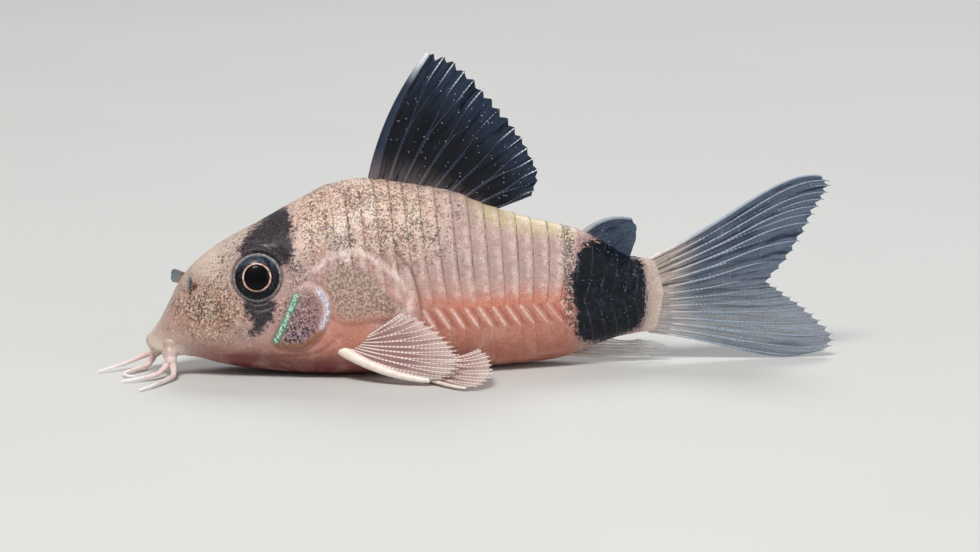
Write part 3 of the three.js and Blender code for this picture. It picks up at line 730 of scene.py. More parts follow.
def membrane_material(name, root, middle, edge, streaks, cover, speck=0.3, fading=0.0):
    """See-through skin with pigment streaks along the rays. cover is its least and most opacity."""
    material, n, inputs = new_material(name, specular_ior_level=0.12, coat_weight=0.06, coat_roughness=0.2)
    across, out = n.stored("across"), n.stored("out")
    stretched = n.put("ShaderNodeCombineXYZ", {"X": n.times(across, 46.0), "Y": n.times(out, 3.0)}).outputs[0]
    streaky = {"Vector": stretched, "Scale": 1.0, "Detail": 5.0, "Roughness": 0.65}
    lines = n.put("ShaderNodeTexNoise", streaky).outputs["Fac"]
    n.base = n.blend(out, 0.02, 0.34, root, middle)
    n.over(n.step(out, 0.5, 1.0), edge)
    faded = n.step(across, 0.3, 0.85, 0.0, fading)
    n.over(faded, (0.66, 0.68, 0.72))
    streak = n.times(n.step(lines, 0.45, 0.62), n.step(n.stored("between"), 0.1, 0.9, 0.35, 1.0))
    streak = n.times(streak, n.calc("SUBTRACT", 1.0, faded))
    n.over(streak, streaks)
    n.over(n.specks(speck, 0.14), (0.06, 0.08, 0.12), 0.5)
    # Painted glints of light: fine white specks along the fin.
    n.painted_glint_flakes(speck * 0.035, 0.09, Cool=(0.6, 0.68, 0.78), Warm=(0.85, 0.86, 0.88))
    solid = n.calc("ADD", n.times(streak, 0.55), n.step(out, 0.0, 0.3, 0.5, 0.0), clamp=True)
    opacity = n.put("ShaderNodeMapRange", {"Value": solid, "To Min": cover[0], "To Max": cover[1]}).outputs[0]
    n.feed(inputs, {
        "Base Color": n.shade(n.base, n.step(n.noise(0.08, 2), 0.3, 0.7, 0.85, 1.14)),
        "Alpha": n.times(opacity, n.calc("SUBTRACT", 1.0, n.times(faded, 0.4))),
        "Roughness": n.step(lines, 0.2, 0.8, 0.28, 0.5),
    })
    return material


def ray_material(name, root, shaft, tip, joint):
    """Bony fin rays: pale segments with darker joints between them."""
    material, n, inputs = new_material(name, specular_ior_level=0.3, coat_weight=0.15, coat_roughness=0.2)
    out = n.stored("out")
    n.base = n.blend(out, 0.05, 0.35, root, shaft)
    n.over(n.step(out, 0.75, 0.99), tip)
    n.over(n.step(n.stored("bead"), 0.35, 0.9), joint, 0.8)
    n.over(n.step(n.noise(0.5, 3), 0.35, 0.7, 0.0, 0.25), joint)
    n.feed(inputs, {"Base Color": n.base, "Roughness": n.step(n.noise(0.3, 2), 0.3, 0.7, 0.26, 0.44)})
    return material


# The skin


def skin_rings():
    """Places of the skin's rings along the side line, close together at the nose and at each plate's edge."""
    nose = NOSE_ROUNDING * np.array([0.0, 0.01, 0.04, 0.1, 0.2, 0.35, 0.55, 0.78])
    head = np.arange(NOSE_ROUNDING, PLATES_START, HEAD_STEP)
    shares = np.array([0.04, 0.1, 0.2, 0.32, 0.45, 0.58, 0.7, 0.82, 0.91, 0.96, 1.0])
    edges = plate_edges()
    starts = np.append(PLATES_START, edges[:-1])
    plates = (starts[:, None] + (edges - starts)[:, None] * shares).ravel()
    plates = plates[plates < STALK_END - 0.02]
    end = np.linspace(max(plates[-1], 38.6), STALK_END, 16)[1:]
    rings = np.concatenate([nose, head, [PLATES_START], plates[plates < end[0]], end])
    return np.unique(np.round(rings, 5))


def skin_colours(flank, side, phase, index, relief):
    """The values that colour the skin, from 0 to 1, but for the mask and the band, which are depths in mm."""
    gill, shoulder, eye = relief
    x, z = flank[..., 0], flank[..., 2]
    outline = flank[..., [0, 2]]
    top, middle = back_line(x), widest_height(x)
    height = (z - middle) / np.maximum(top - middle, 0.5)
    drop = (middle - z) / np.maximum(middle - np.maximum(belly_line(x), 0), 0.5)
    plated = smooth(13.4, 14.4, side)
    seam_gap = z - (middle + 0.25)
    edge = hump((1 - phase) * 1.05, 0.11) * plated
    stalk_part = 1 - smooth(31.5, 33, x)
    v = SimpleNamespace()
    # Under the head, and on the low flanks and chin: deeper red flesh, darkened further as painted shade
    # under the body.
    v.throat = smooth(0.35, 0.9, drop) * (1 - smooth(13, 19, x)) * smooth(3.5, 7, x)
    low_flank = smooth(0.3, 1.0, drop) * smooth(14, 20, x) * stalk_part
    chin = smooth(0.2, 0.8, drop) * hump(x - 6.5, 3.0)
    v.low = np.clip(low_flank + chin, 0, 1) * 0.85
    # Painted shade: a dark red ring where the tail fin's root meets the stalk.
    v.throat += 0.4 * hump(x - 38.5, 0.3)
    v.blush = np.clip(smooth(0.45, -0.2, height) * smooth(7, 13, x) * stalk_part, 0, 1)
    v.nape = smooth(0.35, 0.8, height) * within(x, 9.5, 12, 19, 24) * 0.85
    v.orange = hump(seam_gap - 0.1, 0.8) * within(x, 17, 24.5, 31, 32.6) * 0.55
    v.cream = smooth(0.74, 0.97, height) * within(x, 23, 26, 31.5, 33) * 0.9
    stalk = smooth(37.0, 37.9, x) * 0.75
    crown = smooth(0.75, 1, height) * (1 - smooth(8, 11, x)) * 0.6
    eye_side = hump(np.hypot((x - 5.0) / 1.1, z - 7.8), 1.5) * 0.75
    lips = hump(near_curve(flank, UPPER_LIP), 0.95)
    v.pale = np.clip(stalk + crown + eye_side + lips, 0, 1)
    v.tan = np.clip(hump(np.hypot((x - 4.5) / 1.25, z - 5.2), 2.4) * smooth(1.8, 2.9, z), 0, 1) * 0.95
    v.rust = smooth(0.0, 0.5, height) * within(x, 9, 13, 19, 25) * 0.75
    # Pale slanted marks below the seam: partly pale plate tips, partly painted highlight of the relief.
    slant = np.mod(index + phase + 0.55 * seam_gap, 1)
    below_seam = smooth(-1.9, -1.4, seam_gap) * (1 - smooth(-0.3, 0.0, seam_gap))
    below_seam *= within(x, 17.5, 20, 31, 32.5)
    width = 0.12 - 0.05 * smooth(20, 31, x)
    v.marks = hump(np.minimum(slant, 1 - slant), width) * below_seam * (1 - 0.35 * smooth(26, 31, x))
    v.marks_dark = hump(slant - 0.45, 0.16) * below_seam
    lowest = 0.05 + 0.2 * smooth(22, 28, x)
    v.edge = edge * smooth(lowest, lowest + 0.3, height) * (1 - smooth(30, 33, x))
    v.edge_all = edge
    # Painted highlight on the raised rear part of each plate.
    v.pearl = hump(phase - 0.7, 0.22) * smooth(0.0, 0.2, height) * plated * stalk_part
    nape = smooth(0.15, 0.6, height) * smooth(9.0, 12, x) * (1 - 0.8 * smooth(19, 28, x))
    snout = hump(np.hypot((x - 4.5) / 1.3, z - 5.5), 2.7)
    around_eye = hump(eye - 3.0, 1.1)
    band_front = hump(x - 31.6, 0.7) * smooth(-0.8, 0.0, height)
    freckled = [nape * 0.66, snout * 0.78, around_eye * 0.62, band_front * 0.9]
    v.freckle = np.clip(np.maximum.reduce(freckled), 0, 1)
    # Where painted glints of light sit: the nape, the shoulder and the gill cover.
    glint = 0.8 * hump(np.hypot(x - 19.9, (z - 12.0) / 1.4), 0.6)
    glint += 0.7 * hump(np.hypot(x - 13.8, z - 10.8), 0.7)
    glint += 0.1 * nape + 0.45 * hump(np.hypot(x - 8.5, z - 4.6), 0.5) + 0.2 * smooth(0.1, 0.5, gill)
    glint += 0.28 * hump(shoulder - 0.9, 0.6) * smooth(5.2, 7.2, z)
    v.glint = np.clip(glint, 0, 0.9)
    inner = inside_outline(outline, GILL_BONE)
    v.gill_dark = smooth(-0.5, 0.5, inner) * (0.7 + 0.3 * smooth(5.5, 3.5, z))
    # Painted glints of light on the gill cover.
    v.spark = smooth(-0.1, 0.4, inner) * 0.28 + 0.4 * hump(np.hypot(x - 11.6, z - 7.3), 0.8)
    v.gill_brown = hump(gill - 0.25, 0.3) * (1 - smooth(3.4, 4.6, z)) * 0.8
    v.gill_rim = hump(gill - 0.25, 0.24) * smooth(11.9, 12.7, x) * smooth(3.6, 4.6, z) * 0.95
    v.streak = hump(near_curve(outline, GILL_STREAK), 0.28)
    v.shoulder = smooth(0.1, 0.7, shoulder) * 0.8
    rim_width = 0.24 + 0.5 * smooth(6.4, 4.4, z)
    v.shoulder_rim = hump(near_curve(outline, CLEITHRUM), rim_width) * smooth(3.2, 4.0, z)
    v.dark_line = hump(near_curve(outline, BEHIND_CLEITHRUM), 0.12) * 0.55
    mask = np.maximum(inside_outline(outline, MASK_ABOVE), inside_outline(outline, MASK_BELOW))
    v.mask = np.clip(mask + 0.28, -2, 1.2)
    v.band = np.clip(inside_outline(outline, STALK_BAND), -2, 1.6)
    return vars(v)


def build_skin(sizes):
    """One closed skin from the snout to the root of the tail fin."""
    rings = skin_rings()
    sides = sizes.skin_sides
    turns = np.linspace(0, 2 * np.pi, sides, endpoint=False)
    side, turn = np.meshgrid(rings, turns, indexing="ij")
    points = skin_place(side, turn)
    ahead = np.gradient(points, axis=0)
    round_ring = np.roll(points, -1, axis=1) - np.roll(points, 1, axis=1)
    normals = np.cross(round_ring, ahead)
    lengths = np.linalg.norm(normals, axis=-1, keepdims=True)
    normals = np.where(lengths < 1e-9, np.array([-1.0, 0, 0]), normals / np.maximum(lengths, 1e-9))
    normals[0] = (-1, 0, 0)
    flank = points.copy()
    flank[..., 1] = -np.abs(points[..., 1])
    lift, phase, index = raise_plates(side, turn, sizes.plate_height / MM)
    bones, gill, shoulder = head_relief(flank, flank[..., [0, 2]])
    moved = points + (lift + bones)[..., None] * normals
    flank_moved = moved.copy()
    flank_moved[..., 1] = -np.abs(moved[..., 1])
    near_eye = (points[..., 0] > SKIN_ROUND_EYE[0]) & (points[..., 0] < SKIN_ROUND_EYE[1])
    settle, eye = settle_round_eye(flank_moved)
    mirror = np.where(points[..., 1:2] > 0, np.array([1, -1, 1]), np.array([1, 1, 1]))
    moved += np.where(near_eye, settle, 0)[..., None] * EYE_FACING * mirror
    moved[..., 2] = np.maximum(moved[..., 2], 0.0)
    values = skin_colours(flank, side, phase, index, (gill, shoulder, eye))
    corners = np.vstack([moved[1:-1].reshape(-1, 3), moved[0].mean(axis=0), moved[-1].mean(axis=0)])
    values = {k: np.append(v[1:-1].ravel(), [v[0].mean(), v[-1].mean()]) for k, v in values.items()}
    nodes = ["head", "gill_cover_left", "gill_cover_right", "trunk", "tail_stalk"]
    add_piece("skin", corners, ball_faces(len(rings) - 2, sides), skin_material(), nodes, values)


def build_nostril_flaps():
    """The leaf of skin that stands up in front of each nostril, a rounded, slightly curled rectangle."""
    material = soft_material("nostril flap skin", (0.56, 0.5, 0.47), (0.44, 0.52, 0.56), (0.42, 0.34, 0.33))
    out, across = np.meshgrid(np.linspace(0, 1, LEAF_ROWS), np.linspace(-1, 1, LEAF_COLUMNS), indexing="ij")
    reach = 1.25 * out - 0.25
    rounded = 1 - np.clip((out - 0.55) / 0.45, 0, 1) ** 4
    for side, (root, facing) in NOSTRIL_LEAVES.items():
        along = np.array(facing) / np.linalg.norm(facing)
        wide = np.cross(np.cross(along, (0, 0, 1)), along)
        wide /= -np.linalg.norm(wide)
        thick = np.cross(along, wide)
        half = 0.5 * (0.82 + 0.3 * out) * np.sqrt(np.clip(rounded, 0.03, 1))
        curl = 0.1 * across**2 + 0.12 * out**2
        middle = np.array(root) + reach[..., None] * 0.95 * along + (across * half)[..., None] * wide
        front = middle + (curl + 0.07)[..., None] * thick
        behind = middle + (curl - 0.07 * (1 - 0.4 * out))[..., None] * thick
        points = np.vstack([front.reshape(-1, 3), behind.reshape(-1, 3)])
        values = {"out": np.tile(out.ravel(), 2)}
        faces = sheet_faces(LEAF_ROWS, LEAF_COLUMNS)
        add_piece(f"nostril_flap_{side}", points, faces, material, [], values)


# Eyes


def build_eyes():
    """Two eyeballs with a slightly bulging pupil, each facing out, forward and up."""
    material = eye_material()
    steps = np.linspace(0, np.pi, EYE_RINGS + 2)[1:-1]
    turns = np.linspace(0, 2 * np.pi, EYE_SIDES, endpoint=False)
    reach, angle = np.meshgrid(steps, turns, indexing="ij")
    across = EYE_RADIUS * np.sin(reach)
    out = EYE_DEPTH * np.cos(reach)
    out += 0.05 * smooth(1.02, 0.8, across) * (out > 0) - 0.03 * hump(across - 1.05, 0.08) * (out > 0)
    values = {
        "across": np.append(np.where(out < -0.05, 2.0, across).ravel(), [0.0, 2.0]),
        "above": np.append((across * np.sin(angle)).ravel(), [0.0, 0.0]),
    }
    for side, mirror in (("left", 1), ("right", -1)):
        facing = EYE_FACING * (1, mirror, 1)
        sideways = np.cross(facing, (0, 0, 1))
        sideways /= np.linalg.norm(sideways)
        up = np.cross(sideways, facing)
        grid = EYE_PLACE * (1, mirror, 1) + out[..., None] * facing
        grid += (across * np.cos(angle))[..., None] * sideways
        grid += (across * np.sin(angle))[..., None] * up
        poles = [grid[0].mean(axis=0) + 0.001 * facing, grid[-1].mean(axis=0)]
        points = np.vstack([grid.reshape(-1, 3), poles])
        faces = ball_faces(EYE_RINGS, EYE_SIDES)
        if mirror < 0:
            faces = turned_over(faces)
        add_piece(f"eyeball_{side}", points, faces, material, [f"eye_{side}"], values)


# Middle lines of the whiskers and of the lobes that they grow from
WHISKERS = {
    "barbel_left_front": [
        (1.45, -1.95, 1.1), (0.7, -2.6, 0.5), (-0.1, -3.1, 0.33), (-1.2, -3.6, 0.25), (-2.2, -3.9, 0.17),
    ],
    "barbel_left_rear": [
        (1.75, -2.0, 1.1), (1.75, -3.1, 0.42), (1.2, -4.2, 0.3), (0.45, -5.4, 0.26), (-0.35, -6.5, 0.2),
        (-0.95, -7.2, 0.16),
    ],
    "barbel_right_front": [
        (0.5, 1.75, 1.3), (-0.6, 1.85, 0.85), (-1.5, 1.4, 0.55), (-2.7, 0.7, 0.33), (-3.85, 0.0, 0.18),
    ],
    "barbel_right_rear": [
        (0.6, 1.8, 1.1), (-0.05, 1.0, 0.34), (-0.75, 0.2, 0.28), (-1.5, -0.65, 0.25),
        (-1.85, -1.35, 0.22), (-1.6, -1.85, 0.18), (-1.05, -2.0, 0.16),
    ],
}
LOBES = {
    "left": [(1.7, -1.3, 2.6), (1.6, -1.75, 1.7), (1.65, -2.1, 0.95)],
    "right": [(1.4, 1.25, 2.6), (0.85, 1.6, 1.75), (0.6, 1.85, 1.05)],
}


def add_soft_rod(name, corners, width_at, material, nodes):
    """A soft rod along a path, round at both ends, its radius given by how far along it is."""
    out = np.linspace(0, 1, ROD_RINGS)
    radii = width_at(out) * np.sqrt(np.clip(1 - np.clip((out - 0.94) / 0.06, 0, 0.995) ** 2, 0, 1))
    grid = sweep(catmull(corners, out), radii, ROD_SIDES)
    grid[..., 2] = np.maximum(grid[..., 2], 0.0)
    values = {"out": np.repeat(out, ROD_SIDES)}
    add_piece(name, grid.reshape(-1, 3), tube_faces(ROD_RINGS, ROD_SIDES), material, nodes, values)


def build_whiskers(sizes):
    """Four soft whiskers that taper from the lobes at the corners of the mouth."""
    material = soft_material("whisker skin", (0.9, 0.82, 0.79), (0.97, 0.95, 0.94), (0.86, 0.69, 0.66))
    width = sizes.whisker_width / MM / 2

    def width_at(out):
        return width * (1 - 0.74 * out**0.7) * (1 + 0.05 * np.sin(out * 70) * out)

    for name, corners in WHISKERS.items():
        add_soft_rod(f"{name}_skin", corners, width_at, material, [name])


def build_lobes():
    """Two fleshy lobes, the roots of the whiskers."""
    material = soft_material("lobe skin", (0.78, 0.69, 0.65), (0.9, 0.82, 0.79), (0.7, 0.6, 0.55))

    def width_at(out):
        return (0.72 - 0.36 * out**1.3) * (1 + 0.07 * np.sin(out * 17))

    for side, corners in LOBES.items():
        add_soft_rod(f"lobe_{side}", corners, width_at, material, [])


# Fins


# A fin's middle surface runs from its root line to its tip line. bow is how far it bends aside at each
# share of the way from the first ray to the last. fork is where along them the rays fork: above 1, never.
FIN_DEFAULTS = {"joints": 0.3, "pleats": 0, "late_bow": False}
FINS = {
    "dorsal_fin": {
        "root": [(16.9, 0, 13.1), (19.6, 0, 12.9), (22.3, 0, 12.4), (25.1, 0, 11.6)],
        "tip": [
            (21.25, 0, 23.9), (22.9, 0, 23.5), (24.4, 0, 22.2), (25.7, 0, 20.75), (26.95, 0, 19.25),
            (28.1, 0, 17.8), (29, 0, 16.2), (29.6, 0, 14.5), (29.05, 0, 12.95),
        ],
        "bow": lambda s: (-0.75 * (1 - s) ** 2, 0, 0.2 * (1 - s)),
        "rays": 9, "fork": 0.5, "notch": 0.035, "spine": 0.42, "ray": 0.12, "pleats": 0.25, "look": "dark",
    },
    "adipose_fin": {
        "root": [(32.6, 0, 9.6), (34.6, 0, 8.5), (36.6, 0, 7.5)],
        "tip": [(36.75, 0, 11.0), (37.12, 0, 10.4), (37.05, 0, 9.4), (36.7, 0, 8.4)],
        "bow": lambda s: (-0.1, 0, 0.62 * (1 - s) ** 2),
        "rays": 4, "fork": 2, "notch": 0.02, "spine": 0.2, "ray": 0.05, "look": "grey",
    },
    "caudal_fin": {
        "root": [(38.0, 0, 7.85), (38.45, 0, 6.6), (38.6, 0, 5.1), (38.45, 0, 3.6), (38.1, 0, 2.3)],
        "tip": [
            (51.3, 0, 14.02), (51.95, 0, 13.5), (51.6, 0, 12.5), (50.9, 0, 11.4), (50.2, 0, 10.1),
            (49.4, 0, 8.7), (48.4, 0, 7.3), (47.35, 0, 6.0), (48.2, 0, 5.3), (49.3, 0, 4.5),
            (50.5, 0, 3.6), (51.6, 0, 2.6), (52.4, 0, 1.55), (52.0, 0, 0.65), (50.4, 0, 0.3),
        ],
        "bow": lambda s: (0, 0, np.where(s < 0.5, 0.9 * (1 - 2 * s), -0.55 * (2 * s - 1))),
        "late_bow": True, "rays": 15, "fork": 0.4, "notch": 0.025, "spine": 0.15, "ray": 0.1,
        "joints": 0.34, "pleats": 0.4, "look": "clear",
    },
    "anal_fin": {
        "root": [(31.7, 0, 0.7), (33.1, 0, 1.2), (34.7, 0, 1.95)],
        "tip": [
            (38.3, 0, 0.35), (39.5, 0, 0.62), (39.8, 0, 1.0), (39.2, 0, 1.35), (38.3, 0, 1.6),
            (37.3, 0, 1.7),
        ],
        "bow": lambda s: (0, 0, -0.1 - 0.1 * s),
        "rays": 7, "fork": 0.5, "notch": 0.04, "spine": 0.11, "ray": 0.06, "look": "faint",
    },
    "pectoral_fin": {
        "root": [(13.85, -4.4, 2.5), (14.8, -4.6, 2.75), (15.9, -4.8, 3.15)],
        "tip": [
            (20.5, -7.6, 0.45), (21.5, -7.9, 0.62), (22.3, -8.0, 1.05), (22.75, -7.85, 1.6),
            (22.65, -7.5, 2.2), (22.4, -7.2, 2.7), (21.9, -6.85, 3.25), (21.25, -6.5, 3.9),
            (20.3, -6.15, 4.55), (19.4, -6.0, 5.1), (18.5, -5.9, 5.2),
        ],
        "bow": lambda s: (0, -0.6, -0.4 + 0.5 * s),
        "rays": 10, "fork": 0.45, "notch": 0.05, "spine": 0.4, "ray": 0.09, "look": "pale",
    },
    "pelvic_fin": {
        "root": [(18.9, -3.0, 0.6), (19.6, -3.1, 0.85), (20.5, -3.1, 1.15)],
        "tip": [
            (22.9, -10.0, 0.3), (23.9, -9.95, 0.45), (24.6, -9.4, 0.8), (25.0, -8.6, 1.2),
            (25.05, -7.5, 1.65), (24.95, -6.4, 2.05), (24.4, -5.3, 2.25),
        ],
        "bow": lambda s: (0, -0.9, -0.12),
        "rays": 7, "fork": 0.45, "notch": 0.04, "spine": 0.2, "ray": 0.11, "look": "pale",
    },
}


def fin_place(fin, s, r):
    """Points of a fin's middle surface. s runs from the first ray to the last, r from root to edge."""
    start, end = catmull(fin["root"], s), catmull(fin["tip"], s)
    r = np.asarray(r)[..., None]
    bow = np.stack(np.broadcast_arrays(*fin["bow"](s), s)[:3], axis=-1)
    bent = 9.5 * r**3 * (1 - r) if fin["late_bow"] else 4 * r * (1 - r)
    return start + (end - start) * r + bow * bent


def fin_normal(fin, s, r):
    """The way a fin's surface faces."""
    across = fin_place(fin, np.minimum(s + 0.02, 1), r) - fin_place(fin, np.maximum(s - 0.02, 0), r)
    out = fin_place(fin, s, np.minimum(r + 0.02, 1)) - fin_place(fin, s, np.maximum(r - 0.02, 0))
    made = np.cross(across, out)
    return made / np.linalg.norm(made, axis=-1, keepdims=True)


def membrane_mesh(fin, sizes):
    """Corners, faces and values of a fin's thin membrane, notched between the tips of the rays."""
    sectors = fin["rays"] - 1
    columns = sectors * COLUMNS_PER_RAY + 1
    r, s = np.meshgrid(np.linspace(0, 1, MEMBRANE_ROWS), np.linspace(0, 1, columns), indexing="ij")
    part = np.mod(s * sectors, 1)
    forked = fin["fork"] < 1
    waves = 0.5 + 0.5 * np.cos(4 * np.pi * part) if forked else np.sin(np.pi * part) ** 2
    rim = smooth(0, 0.03, s) * smooth(1, 0.97, s)
    tatter = 0.35 * fin["notch"] * np.sin(s * 57.0 + 1.3) * np.sin(s * 23.0)
    reach = 1 - (fin["notch"] * waves + np.abs(tatter)) * rim
    out = r * reach
    centre = fin_place(fin, s, out)
    normal = fin_normal(fin, s, np.minimum(out, 0.98))
    pleat = 0.07 * np.sin(2 * np.pi * part) * smooth(0.1, 0.5, out)
    pleat += 0.14 * np.sin(s * 11.0 + out * 3.0) * out**2
    centre = centre + fin["pleats"] * pleat[..., None] * normal
    half = sizes.membrane_thickness / MM / 2 * (1.6 - out)
    front = centre + half[..., None] * normal
    back = centre - half[..., None] * normal
    points = np.vstack([front.reshape(-1, 3), back.reshape(-1, 3)])
    points[:, 2] = np.maximum(points[:, 2], 0.01)
    values = {"across": s, "out": out, "between": np.sin(np.pi * part)}
    values = {label: np.tile(numbers.ravel(), 2) for label, numbers in values.items()}
    return points, sheet_faces(MEMBRANE_ROWS, columns), values


def rays_mesh(fin):
    """Corners, faces and values of a fin's rays: jointed rods that fork once, and a stout first spine."""
    sectors = fin["rays"] - 1
    points, faces, outs, beads = [], [], [], []
    r = np.linspace(0, 1, RAY_RINGS)
    for i in range(fin["rays"]):
        single = i == 0 or fin["fork"] > 1
        for branch in [0] if single else [-1, 1]:
            opened = smooth(fin["fork"] - 0.04, fin["fork"] + 0.35, r)
            s = np.clip((i + branch * (0.035 + 0.215 * opened) * smooth(0.1, 0.4, r)) / sectors, 0, 1)
            centre = fin_place(fin, s, r * (1.0 if single else 1.012))
            length = np.append(0, np.cumsum(np.linalg.norm(np.diff(centre, axis=0), axis=1)))
            stout = fin["spine"] if i == 0 else fin["ray"]
            radii = stout * (1.15 - 0.66 * r) * (1 if single else 0.82)
            jointed = smooth(0.2, 0.34, r) * (0.15 if i == 0 else 1)
            wave = 0.5 + 0.5 * np.cos(2 * np.pi * length / fin["joints"])
            radii = radii * (1 - 0.25 * jointed * wave**4)
            radii *= np.sqrt(np.clip(1 - np.clip((r - 0.985) / 0.015, 0, 0.99) ** 2, 0, 1))
            normal = fin_normal(fin, np.clip(s, 0.01, 0.99), np.minimum(r, 0.98)).mean(axis=0)
            grid = sweep(centre, radii, RAY_SIDES, flat=0.85, up=normal)
            faces += tube_faces(RAY_RINGS, RAY_SIDES, len(points) * RAY_RINGS * RAY_SIDES)
            points.append(grid.reshape(-1, 3))
            outs.append(np.repeat(r, RAY_SIDES))
            beads.append(np.repeat(jointed * wave**4, RAY_SIDES))
    points = np.vstack(points)
    points[:, 2] = np.maximum(points[:, 2], 0.0)
    return points, faces, {"out": np.concatenate(outs), "bead": np.concatenate(beads)}


def fin_looks(colours):
    """Membrane and ray materials for each kind of fin."""
    blue, cream = (*colours.fin_blue, 1), (*colours.ray_cream, 1)
    return {
        "dark": (
            membrane_material(
                "blue-black fin skin", (0.42, 0.38, 0.38), (0.04, 0.05, 0.09), blue, (0.03, 0.04, 0.08),
                (0.9, 0.99), 0.4,
            ),
            ray_material(
                "dark fin rays", (0.5, 0.45, 0.45), (0.16, 0.2, 0.28), (0.92, 0.95, 0.97),
                (0.05, 0.07, 0.12),
            ),
        ),
        "grey": (
            membrane_material(
                "grey fin skin", (0.4, 0.4, 0.42), (0.24, 0.3, 0.38), (0.3, 0.37, 0.45), (0.1, 0.14, 0.2),
                (0.86, 0.98), 0.5,
            ),
            ray_material(
                "grey fin spine", (0.72, 0.7, 0.68), (0.62, 0.66, 0.7), (0.6, 0.64, 0.7),
                (0.34, 0.38, 0.42),
            ),
        ),
        "clear": (
            membrane_material(
                "blue-grey fin skin", (0.8, 0.73, 0.68), (0.22, 0.29, 0.38), (0.28, 0.36, 0.46),
                (0.07, 0.13, 0.23), (0.7, 0.97), 0.3, 0.5,
            ),
            ray_material(
                "beaded white rays", (0.88, 0.84, 0.8), (0.62, 0.67, 0.73), (0.6, 0.66, 0.73),
                (0.36, 0.42, 0.5),
            ),
        ),
        "faint": (
            membrane_material(
                "faint fin skin", (0.72, 0.62, 0.57), (0.66, 0.64, 0.64), (0.7, 0.7, 0.7),
                (0.5, 0.5, 0.54), (0.16, 0.55), 0.1,
            ),
            ray_material(
                "faint fin rays", (0.84, 0.74, 0.68), (0.82, 0.78, 0.75), (0.78, 0.78, 0.78),
                (0.7, 0.66, 0.64),
            ),
        ),
        "pale": (
            membrane_material(
                "pink fin skin", (0.58, 0.5, 0.52), (0.74, 0.6, 0.58), (0.93, 0.87, 0.84),
                (0.6, 0.45, 0.47), (0.4, 0.85), 0.12,
            ),
            ray_material(
                "cream fin rays", cream, cream, (0.98, 0.95, 0.92), (0.74, 0.58, 0.55)
            ),
        ),
    }


def build_fin(name, looks, sizes):
    """A fin's membrane and its rays, and their mirror images for a pair."""
    fin = FIN_DEFAULTS | FINS[name]
    skin, bone = looks[fin["look"]]
    paired = fin["root"][0][1] != 0
    meshes = (("membrane", skin, membrane_mesh(fin, sizes)), ("rays", bone, rays_mesh(fin)))
    for suffix, mirror in (("_left", 1), ("_right", -1)) if paired else (("", 1),):
        node = name + suffix
        for kind, material, (points, faces, values) in meshes:
            if mirror < 0:
                points = points * (1, -1, 1)
                faces = turned_over(faces)
            add_piece(f"{node}_{kind}", points, faces, material, [node], values)


# The stage

CAMERA_TURN = math.radians(-7.0)
CAMERA_RISE = math.radians(10.0)
CAMERA_AWAY = 300.0
FRAME_WIDTH = 74.2
LOOK_AT = (25.9, 0.0, 6.84)
SENSOR_WIDTH = 36.0

# Each light's name, place and size in metres, power in watts and tint
LIGHTS = (
    ("key", (-0.14, -0.3, 0.48), 0.16, 2.7, (1.0, 0.98, 0.95)),
    ("fill", (0.36, -0.36, 0.16), 0.3, 0.5, (0.95, 0.97, 1.0)),
    ("rim", (0.1, 0.34, 0.4), 0.25, 1.1, (0.96, 0.98, 1.0)),
)


def build_stage():
    """A pale floor that curves up behind, three soft lights and the camera."""
    bpy.context.scene.view_settings.view_transform = "Standard"
    material, n, inputs = new_material("pale floor", roughness=0.7)
    n.feed(inputs, {"Base Color": n.blend(n.noise(60, 2), 0.3, 0.7, (0.81, 0.81, 0.8), (0.82, 0.82, 0.81))})
    bend = np.linspace(0, math.pi / 2, 24)[1:]
    profile = [(-1.2, 0.0), (0.5, 0.0)]
    profile += [(0.5 + 0.5 * math.sin(a), 0.5 - 0.5 * math.cos(a)) for a in bend]
    profile += [(1.0, 1.6)]
    corners = [(x, y, z) for y, z in profile for x in (-2.0, 2.0)]
    faces = [(2 * i, 2 * i + 1, 2 * i + 3, 2 * i + 2) for i in range(len(profile) - 1)]
    mesh = bpy.data.meshes.new("floor")
    mesh.from_pydata(corners, [], faces)
    mesh.polygons.foreach_set("use_smooth", np.ones(len(mesh.polygons), dtype=bool))
    mesh.materials.append(material)
    floor = bpy.data.objects.new("floor", mesh)
    bpy.context.scene.collection.objects.link(floor)

    target = Vector(to_frame(LOOK_AT))
    for name, place_at, size, power, tint in LIGHTS:
        light = bpy.data.lights.new(name, "AREA")
        light.size, light.energy, light.color = size, power, tint
        lamp = bpy.data.objects.new(name, light)
        lamp.location = place_at
        lamp.rotation_euler = (target - lamp.location).to_track_quat("-Z", "Y").to_euler()
        bpy.context.scene.collection.objects.link(lamp)
    world = bpy.data.worlds.new("soft studio")
    world.use_nodes = True
    world.node_tree.nodes["Background"].inputs["Color"].default_value = (0.82, 0.84, 0.88, 1)
    world.node_tree.nodes["Background"].inputs["Strength"].default_value = 0.26
    bpy.context.scene.world = world

    turn, rise = CAMERA_TURN, CAMERA_RISE
    back = Vector((math.sin(turn) * math.cos(rise), -math.cos(turn) * math.cos(rise), math.sin(rise)))
    data = bpy.data.cameras.new("camera")
    data.sensor_width = SENSOR_WIDTH
    data.lens = SENSOR_WIDTH * CAMERA_AWAY / FRAME_WIDTH
    data.clip_start, data.clip_end = 0.01, 10.0
    camera = bpy.data.objects.new("camera", data)
    camera.location = target + back * CAMERA_AWAY * MM
    camera.rotation_euler = (-back).to_track_quat("-Z", "Y").to_euler()
    bpy.context.scene.collection.objects.link(camera)
    bpy.context.scene.camera = camera


# Settings, operators and the panel


